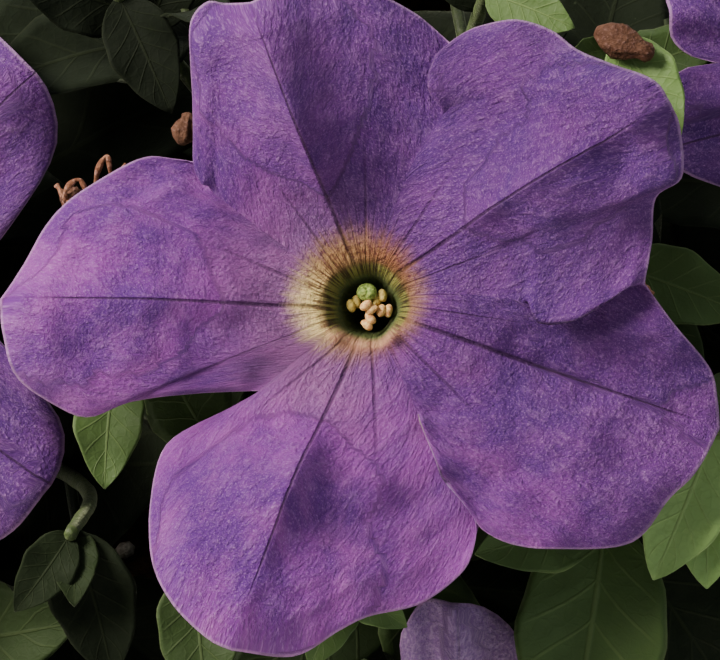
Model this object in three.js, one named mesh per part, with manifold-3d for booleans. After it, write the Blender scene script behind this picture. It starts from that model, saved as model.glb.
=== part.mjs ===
// A petunia hanging basket: a round plastic pot of soil, hung from a hook by three wires, and planted with
// stems that arch out of the soil. Each stem ends in a five-lobed funnel bloom and carries leafy shoots.
// Millimetres, +Z up. The origin is where the hook's bow bears on the bracket that holds the basket up.
import * as THREE from "three";
import { mergeVertices } from "three/addons/utils/BufferGeometryUtils.js";
import Module from "manifold-3d";

const wasm = await Module();
wasm.setup();

// ---- Driving dimensions ----
const SEAT_GAP = 0.3; // between pieces that touch

const RIM_Z = -330; // the pot's rim, below the hook's bearing point
const POT = { rim: 102, base: 74, height: 118, wall: 2.4, floor: 3, lipOut: 4, lipDeep: 9, sides: 24 };
const SOIL = { below: 14 }; // its surface, below the rim
const DRAIN = { count: 4, radius: 5, ring: 44 };
const LUG = { ring: 111, width: 15, inner: 103, outer: 118, thick: 4.5, below: 1, hole: 1.8 };
const WIRE = { radius: 1.2, ballRadius: 3, count: 3, first: 90, topRing: 8.5 };
const HOOK = { rod: 2.5, bow: 14, hubRadius: 14, hubThick: 5, hubTop: -56 };

const MOUND = { radius: 155, height: 112, squareness: 0.7, lift: 6 }; // the dome that the blooms stand on
const MAIN = { azimuth: -90, climb: 40, rise: 40, lean: [-0.1, 0.08], turn: 5.1 }; // the main bloom's place
const BLOOM = { count: 18, reach: 42, notch: 23, throat: 5.6, tube: 36, wellDeep: 24, thick: 0.9 };
const APART = 86; // from one bloom's middle to the next
const EVEN_RIBS = [0, 72, 144, 216, 288];
const EVEN = [1, 1, 1, 1, 1];
const STEM = { radius: 1.5, shootRadius: 1.1, soilDeep: 12 };
const LEAF = { thick: 0.9, halfShare: 0.28, small: 24, sampled: 8 };
const SHOOTS = { count: 17, apart: 38, fromBloom: 38, deep: 9 };
// Leaves along a shoot and along a bloom's stem: the share of its way up, the length, the pitch in radians.
const SHOOT_LEAVES = [
  [0.98, 14, 0.9], [0.955, 18, 0.75], [0.9, 24, 0.6], [0.74, 33, 0.45], [0.52, 42, 0.3],
];
const STEM_LEAVES = [
  [0.92, 18, 0.5], [0.88, 21, 0.5], [0.76, 34, 0.4], [0.67, 42, 0.3],
  [0.58, 48, 0.3], [0.5, 52, 0.4], [0.43, 50, 0.6],
];

// The main bloom's outline in its own plane, seen from in front: X right, Y up, from the throat's middle.
// Each lobe runs counterclockwise from its first notch, by its rise, to the end of its rib, and by its fall
// to the next lobe's notch. throat is the angle, in degrees, at which the rib leaves the throat.
const MAIN_LOBES = [
  {
    throat: 45, fold: 1, notch: [33.6, 2.4],
    rise: [[34.4, 7.2], [34.9, 12.6], [38.1, 15], [37.8, 21]], rib: [36.8, 23.6],
    fall: [[34.8, 26.4], [29.4, 28.7], [25.6, 30.4], [22.2, 33], [18, 34.2], [13.2, 33.4]],
  },
  {
    throat: 106, fold: 1.3, notch: [10, 31.6],
    rise: [[7.8, 33.6], [5.4, 35.4], [0.6, 37.6], [-5.4, 38.8]], rib: [-13.2, 35.6],
    fall: [[-16.8, 36], [-19, 36.4], [-21, 34.2], [-21.1, 29.4], [-20.8, 23.4]],
  },
  {
    throat: 182, fold: 0.8, notch: [-20.8, 17.2],
    rise: [[-23.4, 17.6], [-26.4, 17.8], [-30, 16.2], [-34.8, 13.2], [-38.4, 9.6], [-41.4, 4.8]],
    rib: [-43.8, 0.4],
    fall: [[-43.2, -3.6], [-41.6, -9], [-36.6, -12.6], [-33, -13.6], [-28, -11.8], [-20, -10.8]],
  },
  {
    throat: 256, fold: 1.2, notch: [-12.6, -10.4],
    rise: [
      [-15.8, -12.9], [-20, -14.4], [-24, -17.4], [-25.4, -24], [-25, -30.8], [-22.4, -36], [-18, -40.2],
    ],
    rib: [-15, -41.6],
    fall: [[-7.8, -42.2], [-2.4, -39.2], [1.2, -37.4], [7.2, -35.8], [12, -32], [13.4, -28.8]],
  },
  {
    throat: 340, fold: -0.9, notch: [13.6, -26],
    rise: [[15, -27.4], [18, -28.7], [22.8, -29.2], [31.8, -28.3], [36.4, -23], [39.6, -19.8]],
    rib: [42.4, -14.4], fall: [[42.1, -10.8], [41.2, -7.2], [37.2, -2.4]],
  },
];
// The blooms round the main bloom: right, up and out from its middle, their size and turn, and where their
// ribs stand.
const NEAR_BLOOMS = [
  {
    at: [-69, 0, -28], size: 0.95, turn: -20, ribs: EVEN_RIBS,
    notches: [1, 0.6, 1, 1, 1], tips: [1, 1.05, 1, 1, 1],
  },
  {
    at: [74, 29, -27], size: 0.95, turn: 148, ribs: [0, 34, 92, 190, 272],
    notches: [1, 1, 0.6, 1, 1], tips: EVEN,
  },
  {
    at: [12, -70, -30], size: 0.98, turn: 14, ribs: [0, 72, 108, 196, 276],
    notches: [1, 0.6, 0.95, 1, 1], tips: [1, 0.96, 0.78, 1, 1],
  },
  { at: [-66, -80, -40], size: 0.93, turn: 50, ribs: EVEN_RIBS, notches: EVEN, tips: EVEN },
];
// The shoots round it, likewise, and their leaves: the share of the way up, and where the tip reaches.
const NEAR_SHOOTS = [
  { at: [-31, -7, -13], leaves: [[0.97, -31.8, -22, -10]] },
  { at: [-36, -28, -12], leaves: [[0.98, -42.5, -37, -9], [0.93, -35.5, -36, -9], [0.95, -31, -46, -15]] },
  { at: [-21, -32, -10], leaves: [[0.97, -19, -49, -7]] },
  { at: [-3, -34, -6], leaves: [[0.97, 5, -39, -6], [0.9, -6.5, -43.5, -6]] },
  { at: [43, -15, -5], leaves: [[0.98, 35, -33, -3], [0.9, 41.5, -34, -5], [0.75, 52, -26, -10]] },
  { at: [30, -26, -14], leaves: [[0.97, 24, -58, -10], [0.85, 45, -48, -18], [0.9, 14.5, -30, -8]] },
  { at: [31, 5, -10], leaves: [[0.97, 46, -1, -8], [0.88, 41, -9, -9]] },
  { at: [31, 33, -9], leaves: [[0.97, 38, 21, -5], [0.9, 25, 30, -8]] },
  { at: [15, 39, -12], leaves: [[0.97, 25, 34, -8], [0.85, 8, 50, -14]] },
  { at: [-31, 39, -18], leaves: [[0.97, -24, 24, -17], [0.85, -43, 41, -15], [0.75, -22, 46, -20]] },
];

const COLOURS = {
  petal: { color: 0x8c5fa6, roughness: 0.6 },
  stamens: { color: 0xd9c27a, roughness: 0.7 },
  foliage: { color: 0x4b6b35, roughness: 0.65 },
  pot: { color: 0x2c3a30, roughness: 0.45 },
  soil: { color: 0x2b2019, roughness: 1 },
  steel: { color: 0x3a3d3c, roughness: 0.4, metalness: 0.8 },
};

// ---- Small helpers ----
// Repeatable draws from 0 to 1.
function seeded(seed) {
  let state = seed >>> 0;
  return () => {
    state = (state + 0x6d2b79f5) >>> 0;
    let t = state;
    t = Math.imul(t ^ (t >>> 15), t | 1);
    t ^= t + Math.imul(t ^ (t >>> 7), t | 61);
    return ((t ^ (t >>> 14)) >>> 0) / 4294967296;
  };
}
const within = (draw, low, high) => low + (high - low) * draw();
const mix = (a, b, t) => a + (b - a) * t;
const radians = (degrees) => (degrees * Math.PI) / 180;
const times = (count, make) => [...Array(count)].map((_, i) => make(i));
const vec = (x, y, z) => new THREE.Vector3(x, y, z);
const polar = (radius, angle) => [radius * Math.cos(angle), radius * Math.sin(angle)];
const strand = (points) => new THREE.CatmullRomCurve3(points, false, "catmullrom", 0.5);
const UP = vec(0, 0, 1);
const FULL = radians(360);
const GOLDEN = radians(137.50776405);

// ---- Closed solids ----
function geometryFrom(points, faces) {
  const geometry = new THREE.BufferGeometry();
  const numbers = new Float32Array(points.flatMap((p) => [p.x, p.y, p.z]));
  geometry.setAttribute("position", new THREE.BufferAttribute(numbers, 3));
  geometry.setIndex(faces.flat());
  return geometry;
}

function solidFrom(geometry) {
  const plain = new THREE.BufferGeometry();
  plain.setAttribute("position", geometry.getAttribute("position"));
  plain.setIndex(geometry.getIndex());
  const merged = mergeVertices(plain, 1e-4);
  const vertProperties = merged.getAttribute("position").array;
  const triVerts = new Uint32Array(merged.getIndex().array);
  return new wasm.Manifold(new wasm.Mesh({ numProp: 3, vertProperties, triVerts }));
}

function meshFrom(name, solid, material) {
  const made = solid.getMesh();
  const geometry = new THREE.BufferGeometry();
  geometry.setAttribute("position", new THREE.BufferAttribute(made.vertProperties, 3));
  geometry.setIndex(new THREE.BufferAttribute(made.triVerts, 1));
  geometry.computeVertexNormals();
  const mesh = new THREE.Mesh(geometry, material);
  mesh.name = name;
  return mesh;
}

const union = (solids) => solids.reduce((sum, next) => sum.add(next));
// The largest body of a union: without loose scraps, and with sealed hollows filled.
const larger = (one, other) => (other.volume() > one.volume() ? other : one);
const largest = (solid) => solid.decompose().reduce(larger);
const moved = (geometry, x, y, z) => solidFrom(geometry.translate(x, y, z));

// Rings of points joined in order into one closed body. A wall faces away from the axis where its rings run
// counterclockwise as seen from the next one. A ring of one point closes an end. From ring `turn` on the
// quads split along the other diagonal, so that the two faces of a blade fold alike.
function ringsSolid(rings, turn = Infinity) {
  const starts = rings.map((_, i) => rings.slice(0, i).reduce((sum, ring) => sum + ring.length, 0));
  const columns = Math.max(...rings.map((ring) => ring.length));
  const at = (i, j) => starts[i] + (rings[i].length > 1 ? j % columns : 0);
  const faces = [];
  for (let i = 0; i + 1 < rings.length; i++) {
    for (let j = 0; j < columns; j++) {
      const [a, b, c, d] = [at(i, j), at(i, j + 1), at(i + 1, j + 1), at(i + 1, j)];
      const halves = i < turn ? [[a, b, c], [a, c, d]] : [[a, b, d], [b, c, d]];
      faces.push(...halves.filter(([p, q, r]) => p !== q && q !== r && r !== p));
    }
  }
  return solidFrom(geometryFrom(rings.flat(), faces));
}

// A round form about a frame's own Z axis, from [radius, z] pairs that start and end on the axis.
function turned(frame, profile, sides) {
  const ring = ([radius, z]) =>
    radius === 0
      ? [placed(frame, 0, 0, z)]
      : times(sides, (j) => placed(frame, ...polar(radius, (FULL * j) / sides), z));
  return ringsSolid(profile.map(ring));
}

function tube(path, radius, sides, steps) {
  const corners = times(sides, (i) => new THREE.Vector2(...polar(radius, (FULL * i) / sides)));
  const section = new THREE.Shape(corners);
  return solidFrom(new THREE.ExtrudeGeometry(section, { steps, extrudePath: path, bevelEnabled: false }));
}

// ---- Frames and free room ----
// A bloom's or shoot's own axes: X right and Y up as seen from in front, Z towards the viewer, then turned.
function frameOf(centre, normal, turn = 0) {
  const z = normal.clone().normalize();
  const right = UP.clone().cross(z).normalize();
  const upward = z.clone().cross(right);
  const x = right.multiplyScalar(Math.cos(turn)).addScaledVector(upward, Math.sin(turn));
  return { centre, x, y: z.clone().cross(x), z };
}
const placed = ({ centre, x, y, z }, right, upward, out) =>
  centre.clone().addScaledVector(x, right).addScaledVector(y, upward).addScaledVector(z, out);

// A point of the mound and its outward normal. climb is 0 at the widest part and 90 degrees at the top.
function moundSpot(azimuth, climb, deep = 0) {
  const ring = MOUND.radius * Math.cos(climb) ** MOUND.squareness;
  const outward = vec(Math.cos(azimuth), Math.sin(azimuth), 0);
  const normal = outward.clone().multiplyScalar(MOUND.height * Math.cos(climb));
  normal.z = ring * MOUND.squareness * Math.tan(climb);
  normal.normalize();
  const centre = outward.multiplyScalar(ring);
  centre.z = RIM_Z + MOUND.lift + MOUND.height * Math.sin(climb);
  return { centre: centre.addScaledVector(normal, -deep), normal };
}

// Even spots over the mound from its lowest climb to its top, each a golden angle round from the last.
function moundSpots(count, lowest, highest, deep) {
  return times(count, (i) => {
    const height = mix(Math.sin(radians(lowest)), Math.sin(radians(highest)), (i + 0.5) / count);
    return moundSpot(i * GOLDEN, Math.asin(height), deep);
  });
}

// What has been placed so far, as balls that a newcomer has to miss. A piece of a stem passes its own axes.
const taken = [];
const keep = (balls, owner = null, axis = false) =>
  balls.forEach(({ p, r }) => taken.push({ p, r, owner: axis ? owner : null }));
const isClear = (balls, owner = undefined, room = 1) =>
  balls.every(({ p, r }) => taken.every((o) => o.owner === owner || o.p.distanceTo(p) > r + o.r + room));
const isOffPot = (balls) =>
  balls.every(({ p, r }) => {
    const below = RIM_Z - p.z;
    const [top, foot] = [POT.rim + POT.lipOut, POT.base + POT.lipOut];
    const outside = mix(top, foot, Math.max(below, 0) / POT.height);
    return below < -r - 1 || Math.hypot(p.x, p.y) > outside + r + 1;
  });
const ballsAlong = (path, radius, from, to, count) =>
  times(count, (i) => ({ p: path.getPoint(mix(from, to, i / (count - 1))), r: radius }));

// ---- Blooms ----
// Each rib's throat angles: where its lobe begins, the rib itself, and where its lobe ends.
function throatAngles(ribs, k) {
  const before = k > 0 ? ribs[k - 1] : ribs[4] - FULL;
  const after = k < 4 ? ribs[k + 1] : ribs[0] + FULL;
  return [(before + ribs[k]) / 2, ribs[k], (ribs[k] + after) / 2];
}

// A lobe's margin is a function of s: 0 at its first notch, 0.5 where its rib ends, 1 at its last notch.
function mainLobes() {
  const ribs = MAIN_LOBES.map((lobe) => radians(lobe.throat));
  const line = (points) => strand(points.map(([x, y]) => vec(x, y, 0)));
  return MAIN_LOBES.map((lobe, k) => {
    const rise = line([lobe.notch, ...lobe.rise, lobe.rib]);
    const fall = line([lobe.rib, ...lobe.fall, MAIN_LOBES[(k + 1) % 5].notch]);
    const margin = (s) => {
      const { x, y } = s < 0.5 ? rise.getPointAt(2 * s) : fall.getPointAt(2 * s - 1);
      return [x, y];
    };
    return { throat: throatAngles(ribs, k), margin, fold: lobe.fold };
  });
}

// Lobes about ribs that stand near the given degrees. Two that stand close are joined further out, and a
// deep notch is a wide one.
function grownLobes(draw, size, places, notches, tips) {
  const ribs = places.map((place) => radians(place + within(draw, -5, 5)));
  const joined = (k) => (radians(72) / (ribs[k] - (k > 0 ? ribs[k - 1] : ribs[4] - FULL))) ** 0.4;
  const cuts = notches.map((notch, k) => size * BLOOM.notch * notch * joined(k) * within(draw, 0.9, 1.12));
  const reaches = tips.map((tip) => size * BLOOM.reach * tip * within(draw, 0.93, 1.02));
  const folds = times(5, () => within(draw, 0.5, 1.3));
  return times(5, (k) => {
    const [from, rib, to] = throatAngles(ribs, k);
    const margin = (s) => {
      const side = 2 * s - 1;
      const notch = side < 0 ? k : (k + 1) % 5;
      const deep = Math.min(Math.max((1 - notches[notch]) / 0.4, 0), 1);
      const full = (1 - Math.abs(side) ** mix(3.2, 1.6, deep)) ** mix(0.55, 1.1, deep);
      const angle = mix(rib, side < 0 ? from : to, Math.abs(side));
      return polar(mix(cuts[notch], reaches[k], full), angle);
    };
    return { throat: [from, rib, to], margin, fold: folds[k] };
  });
}

const throatAngle = ([from, rib, to], s) => (s < 0.5 ? mix(from, rib, 2 * s) : mix(rib, to, 2 * s - 1));

// The front of the limb, at lobe place s and share t of the way from throat to margin, in bloom axes.
// Its rib runs straight. Towards a notch it leaves the throat straight on and bends to its place there.
function limbPoint(bloom, lobe, s, t) {
  const angle = throatAngle(lobe.throat, s);
  const start = polar(BLOOM.throat, angle);
  const end = lobe.margin(s);
  const turn = Math.atan2(end[1], end[0]) - angle;
  const bent = (turn - FULL * Math.round(turn / FULL)) * t * t;
  const curved = polar(mix(BLOOM.throat, Math.hypot(...end), t), angle + bent);
  const [x, y] = [0, 1].map((i) => mix(mix(start[i], end[i], t), curved[i], Math.abs(2 * s - 1) ** 3));
  const out = Math.min(Math.hypot(x, y) / BLOOM.reach, 1.1);
  const dome = 4.2 * Math.sin(2.2 * out) - 1.9;
  const fold = t * (2.6 * lobe.fold * (1 - Math.abs(2 * s - 1)) - 1);
  const wave = bloom.wave * t ** 3 * Math.sin(Math.PI * s) * Math.sin(3 * FULL * s + 3 * lobe.throat[1]);
  return [x, y, dome + fold + wave];
}

// One corolla: from the bottom of its well out to the margin, then by the back down to the tube's end.
function corollaSolid(bloom, columns, rows) {
  const spots = bloom.lobes.flatMap((lobe) => times(columns, (i) => [lobe, i / columns])).reverse();
  const limb = (t, back) =>
    spots.map(([lobe, s]) => {
      const [x, y, z] = limbPoint(bloom, lobe, s, t);
      return placed(bloom.frame, x, y, z - back);
    });
  const tubeRing = (radius, z) =>
    spots.map(([lobe, s]) => placed(bloom.frame, ...polar(radius, throatAngle(lobe.throat, s)), z));
  const shares = times(rows + 1, (i) => (i / rows) ** 0.85);
  const front = shares.map((t) => limb(t, 0));
  const back = shares.slice(1).reverse().map((t) => limb(t, BLOOM.thick));
  const end = [placed(bloom.frame, 0, 0, -BLOOM.tube)];
  const well = [placed(bloom.frame, 0, 0, -BLOOM.wellDeep)];
  const throat = [tubeRing(7, -4.5), tubeRing(1.9, -BLOOM.tube), end];
  return ringsSolid([well, ...front, ...back, ...throat], front.length + 1);
}

function bloomBalls(bloom) {
  const limb = bloom.lobes.flatMap((lobe) =>
    [0.08, 0.29, 0.5, 0.71, 0.92].flatMap((s) =>
      [0.35, 0.6, 0.82, 1].map((t) => {
        const [x, y, z] = limbPoint(bloom, lobe, s, t);
        return { p: placed(bloom.frame, x, y, z), r: 2.6 };
      })));
  const neck = times(7, (i) => ({ p: placed(bloom.frame, 0, 0, -5 - 6 * i), r: mix(6.5, 5, i / 6) }));
  return [...limb, ...neck];
}

// One column with a crown of five anthers and a stigma on top. It stands in the corolla's well.
function stamensSolid({ frame }, turn) {
  const ring = (radius, notch, z) =>
    times(10, (j) => placed(frame, ...polar(j % 2 ? notch : radius, turn + (FULL * j) / 10), z));
  const ends = [-20.3, -2.8].map((z) => [placed(frame, 0, 0, z)]);
  const column = [ring(0.7, 0.7, -19.6), ring(0.9, 0.9, -8)];
  return ringsSolid([ends[0], ...column, ring(3, 1.1, -5.6), ring(1.5, 1, -3.8), ends[1]]);
}

function bloomAt(centre, normal, turn, lobes, wave, number) {
  return { frame: frameOf(centre, normal, turn), lobes, wave, number };
}

function placeBlooms() {
  const view = vec(0, -Math.cos(radians(MAIN.rise)), Math.sin(radians(MAIN.rise)));
  const middle = moundSpot(radians(MAIN.azimuth), radians(MAIN.climb)).centre;
  const facing = frameOf(middle, view);
  const leaning = placed({ ...facing, centre: vec(0, 0, 0) }, ...MAIN.lean, 1);
  const blooms = [bloomAt(middle, leaning, radians(MAIN.turn), mainLobes(), 1.2, 0)];
  keep(bloomBalls(blooms[0]));

  const add = (centre, normal, size, turn, ribs = EVEN_RIBS, notches = EVEN, tips = EVEN) => {
    const draw = seeded(100 + blooms.length);
    const lobes = grownLobes(draw, size, ribs, notches, tips);
    const bloom = bloomAt(centre, normal, radians(turn), lobes, within(draw, 1.2, 2), blooms.length);
    const path = stemPath(bloom);
    const balls = [...bloomBalls(bloom), ...ballsAlong(path, STEM.radius, 0.15, 0.9, 24)];
    if (!isClear(balls)) return false;
    keep(bloomBalls(bloom));
    keep(ballsAlong(path, STEM.radius, 0.1, 1, 30), blooms.length, true);
    blooms.push(bloom);
    return true;
  };
  keep(ballsAlong(stemPath(blooms[0]), STEM.radius, 0.1, 1, 30), 0, true);
  for (const { at, size, turn, ribs, notches, tips } of NEAR_BLOOMS) {
    const centre = placed(facing, ...at);
    const climb = Math.asin((centre.z - RIM_Z - MOUND.lift) / MOUND.height);
    const normal = moundSpot(Math.atan2(centre.y, centre.x), climb).normal.add(view);
    const added = add(centre, normal, size, turn, ribs, notches, tips);
    if (!added) throw new Error("a near bloom meets its neighbours");
  }
  for (const { centre, normal } of moundSpots(160, -8, 88, 0)) {
    const apart = blooms.every((b) => b.frame.centre.distanceTo(centre) > APART);
    const leaning = normal.addScaledVector(UP, 0.22);
    if (apart && blooms.length < BLOOM.count) add(centre, leaning, 0.96, 31 * blooms.length);
  }
  return { blooms, facing };
}

// ---- Stems, shoots, leaves and buds ----
// A stem's line: straight up out of the soil, over the rim where it must, and into the back of its bloom.
function stemPath({ frame }) {
  const end = placed(frame, 0, 0, -BLOOM.tube - 3);
  const before = placed(frame, 0, 0, -BLOOM.tube - 15);
  const azimuth = Math.atan2(end.y, end.x);
  const across = Math.hypot(end.x, end.y);
  const root = mix(12, 66, Math.min(across / 120, 1));
  const at = (radius, above) => vec(...polar(radius, azimuth), RIM_Z + above);
  while (!isOffPot([{ p: before, r: 9 }]) && Math.hypot(before.x, before.y) > 80) before.z += 2;
  const hump = at(Math.min(mix(root, across, 0.6), 97), Math.max(mix(0, end.z - RIM_Z, 0.6), 20));
  const soil = -SOIL.below - STEM.soilDeep;
  return strand([at(root, soil), at(root, soil + STEM.soilDeep + 1), at(root + 1, 0), hump, before, end]);
}

// A blade's middle line and half width at share u of its length, in the leaf's own axes.
const leafHalf = (leaf, u) => leaf.length * LEAF.halfShare * Math.sin(Math.PI * u ** 0.8) ** 0.75;
function leafPoint(leaf, u, v, lift = 0) {
  const half = leafHalf(leaf, u);
  const droop = -leaf.bend * leaf.length * u * u;
  const rise = 0.22 * Math.abs(v) * half + droop + lift;
  return placed(leaf.frame, v * half, u * leaf.length, rise);
}

// A blade: an ovate rim, or a plainer one where it is small, and a middle point for each face's fan.
function leafSolid(leaf) {
  const ovate = [[0, 0], [0.28, 1], [0.66, 1], [1, 0], [0.66, -1], [0.28, -1]];
  const rim = leaf.length > LEAF.small ? ovate : [[0, 0], [0.45, 1], [1, 0], [0.45, -1]];
  const n = rim.length;
  const face = (lift) => [...rim, [0.47, 0]].map(([u, v]) => leafPoint(leaf, u, v, lift));
  const fan = times(n - 2, (i) => [i + 1, i + 2, n]).concat([[n - 1, 1, n], [0, 1, n - 1]]);
  const back = fan.map(([a, b, c]) => [a + n + 1, c + n + 1, b + n + 1]);
  const walls = rim.flatMap((_, a) => {
    const b = (a + 1) % n;
    return [[b, a, a + n + 1], [b, a + n + 1, b + n + 1]];
  });
  const faces = [...fan, ...back, ...walls];
  return solidFrom(geometryFrom([...face(LEAF.thick / 2), ...face(-LEAF.thick / 2)], faces));
}

function leafBalls(leaf) {
  const rows = Math.ceil(leaf.length / LEAF.sampled);
  const across = leaf.length > LEAF.small ? [-0.85, -0.4, 0, 0.4, 0.85] : [-0.8, 0, 0.8];
  const row = (u) => across.map((v) => ({ p: leafPoint(leaf, u, v), r: 2.4 }));
  const rest = times(rows, (i) => row(mix(0.22, 0.9, i / Math.max(rows - 1, 1)))).flat();
  return [...rest, { p: leafPoint(leaf, 1, 0), r: 2 }];
}

function leafAlong(point, spread, light, length, bend) {
  const across = spread.clone().cross(light).normalize();
  const frame = { centre: point, x: across, y: spread, z: across.clone().cross(spread) };
  return { frame, length, bend };
}

// A leaf at a point of an axis, spread to one side of it, with its upper face to the light.
function leafOn(point, axis, light, around, pitch, length, draw) {
  const side = frameOf(point, axis);
  const origin = { ...side, centre: vec(0, 0, 0) };
  const spread = placed(origin, ...polar(Math.cos(pitch), around), Math.sin(pitch));
  spread.z -= 0.12;
  return leafAlong(point, spread.normalize(), light, length, within(draw, 0.05, 0.28));
}

// Tries a few turns and pitches for a leaf, and keeps the first that clears what is placed.
function growLeaf(point, axis, light, around, pitch, length, owner, draw) {
  for (let attempt = 0; attempt < 7; attempt++) {
    const turn = around + within(draw, -0.5, 0.5) * (1 + attempt);
    const leaf = leafOn(point, axis, light, turn, pitch + within(draw, -0.3, 0.3), length, draw);
    const balls = leafBalls(leaf);
    if (isOffPot(balls) && isClear(balls, owner)) {
      keep(balls);
      return leaf;
    }
  }
  return null;
}

// A leaf from a point of an axis to where its tip is wanted.
function reachLeaf(point, tip, light, owner) {
  const spread = tip.clone().sub(point);
  const leaf = leafAlong(point, spread.clone().normalize(), light, spread.length(), 0.1);
  const balls = leafBalls(leaf);
  if (!isOffPot(balls) || !isClear(balls, owner)) return null;
  keep(balls, owner, true);
  return leaf;
}

const growLeaves = (places, path, light, owner, draw) =>
  places
    .map(([u, length, pitch], i) =>
      growLeaf(path.getPoint(u), path.getTangent(u), light, i * GOLDEN, pitch, length, owner, draw))
    .filter(Boolean);

// A leafy side shoot from the nearest stem to a spot of the mound, or null where there is no room for one.
function growShoot(stems, { centre, normal, reach }, withBud, draw) {
  const heel = centre.clone().addScaledVector(normal, -38);
  const choices = stems.flatMap((stem) =>
    times(9, (i) => ({ stem, from: stem.path.getPoint(mix(0.45, 0.78, i / 8)) })));
  const { stem, from } = choices.reduce((best, next) =>
    next.from.distanceTo(heel) < best.from.distanceTo(heel) ? next : best);
  const knee = from.clone().lerp(centre, 0.5).lerp(centre.clone().addScaledVector(normal, -20), 0.6);
  const path = strand([from, knee, centre]);
  const axisBalls = ballsAlong(path, STEM.shootRadius + 0.4, 0.12, 1, 12);
  if (!isOffPot(axisBalls.slice(2)) || !isClear(axisBalls, stem.number)) return null;
  keep(axisBalls, stem.number, true);
  const tip = frameOf(centre, path.getTangent(1));
  const budBalls = times(4, (i) => ({ p: placed(tip, 0, 0, 4 * i), r: 3 }));
  const bud = withBud && isClear(budBalls, stem.number) && isOffPot(budBalls) ? tip : null;
  if (bud) keep(budBalls);
  const light = normal.clone().addScaledVector(UP, 0.7).normalize();
  const leaves = reach
    ? reach.map(([share, end, facing]) => reachLeaf(path.getPoint(share), end, facing, stem.number))
    : growLeaves(SHOOT_LEAVES, path, light, stem.number, draw);
  stem.shoots.push({ path, leaves: leaves.filter(Boolean), bud });
  return stem;
}

function growStems(blooms, facing) {
  const stems = blooms.map((bloom) => {
    return { number: bloom.number, bloom, path: stemPath(bloom), shoots: [] };
  });
  const draw = seeded(11);
  const spots = NEAR_SHOOTS.map(({ at, leaves }) => {
    const centre = placed(facing, ...at);
    const reach = leaves.map(([share, ...end]) => [share, placed(facing, ...end), facing.z]);
    return { centre, normal: centre.clone().setZ(centre.z - RIM_Z + 20).normalize(), reach };
  });
  const tips = [];
  for (const spot of [...spots, ...moundSpots(90, -36, 82, SHOOTS.deep)]) {
    const near = tips.length < NEAR_SHOOTS.length;
    const apart = tips.every((tip) => tip.distanceTo(spot.centre) > SHOOTS.apart) &&
      blooms.every((b) => b.frame.centre.distanceTo(spot.centre) > SHOOTS.fromBloom);
    if ((near || apart) && tips.length < SHOOTS.count + NEAR_SHOOTS.length) {
      if (growShoot(stems, spot, !near && tips.length % 3 === 0, draw)) tips.push(spot.centre);
      else if (near) tips.push(spot.centre);
    }
  }
  for (const stem of stems) {
    const light = stem.bloom.frame.z.clone().addScaledVector(UP, 0.5).normalize();
    stem.leaves = growLeaves(STEM_LEAVES, stem.path, light, stem.number, draw);
  }
  return stems;
}

// The green cup that the corolla stands on, with its five sepals round the tube.
function calyxSolid(frame) {
  const top = -BLOOM.tube - SEAT_GAP;
  const ring = (radius, z, notch = radius, notchZ = z) =>
    times(10, (j) => placed(frame, ...polar(j % 2 ? notch : radius, (FULL * j) / 10), j % 2 ? notchZ : z));
  const ends = [top - 5, top].map((z) => [placed(frame, 0, 0, z)]);
  const sepals = ring(6.8, top + 12, 3.1, top + 0.6);
  return ringsSolid([ends[0], ring(2.8, top - 2.5), sepals, ring(2.3, top), ends[1]]);
}

const budSolid = (frame) => turned(frame, [[0, -2], [1.5, 0], [2.9, 4], [2.2, 9], [0, 14]], 5);

function stemSolid(stem) {
  const shoots = stem.shoots.flatMap(({ path, leaves, bud }) => [
    tube(path, STEM.shootRadius, 3, 3),
    ...leaves.map(leafSolid),
    ...(bud ? [budSolid(bud)] : []),
  ]);
  const main = tube(stem.path, STEM.radius, 4, 8);
  return largest(union([main, calyxSolid(stem.bloom.frame), ...shoots, ...stem.leaves.map(leafSolid)]));
}

// ---- The pot, its soil and what it hangs by ----
const WORLD = { centre: vec(0, 0, 0), x: vec(1, 0, 0), y: vec(0, 1, 0), z: vec(0, 0, 1) };
const wireAngle = (i) => radians(WIRE.first) + (FULL * i) / WIRE.count;
const wireEnds = (i) => [
  vec(...polar(WIRE.topRing, wireAngle(i)), HOOK.hubTop),
  vec(...polar(LUG.ring, wireAngle(i)), RIM_Z - LUG.below - LUG.thick / 2),
];

// A straight bar from one point to another, each end run on by `past`.
function bar(from, to, radius, sides, past = 0) {
  const along = to.clone().sub(from).normalize();
  const line = new THREE.LineCurve3(
    from.clone().addScaledVector(along, -past),
    to.clone().addScaledVector(along, past),
  );
  return tube(line, radius, sides, 1);
}

function potSolid() {
  const { rim, base, height, wall, floor, lipOut, lipDeep, sides } = POT;
  const bottom = RIM_Z - height;
  const lipFoot = mix(rim, base, lipDeep / height);
  const side = [[0, bottom], [base, bottom], [lipFoot, RIM_Z - lipDeep]];
  const lip = [[rim + lipOut, RIM_Z - lipDeep + 2], [rim + lipOut, RIM_Z], [rim - wall, RIM_Z]];
  const inside = [[base - wall, bottom + floor], [0, bottom + floor]];
  const body = turned(WORLD, [...side, ...lip, ...inside], sides);
  const lugs = times(WIRE.count, (i) => {
    const box = new THREE.BoxGeometry(LUG.outer - LUG.inner, LUG.width, LUG.thick);
    box.translate((LUG.inner + LUG.outer) / 2, 0, RIM_Z - LUG.below - LUG.thick / 2);
    return solidFrom(box.rotateZ(wireAngle(i)));
  });
  const holes = times(WIRE.count, (i) => bar(...wireEnds(i), LUG.hole, 6, 10));
  const drains = times(DRAIN.count, (i) => {
    const [x, y] = polar(DRAIN.ring, (FULL * (i + 0.5)) / DRAIN.count);
    return bar(vec(x, y, bottom - 2), vec(x, y, bottom + floor + 2), DRAIN.radius, 6);
  });
  return [...holes, ...drains].reduce((solid, cut) => solid.subtract(cut), union([body, ...lugs]));
}

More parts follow.
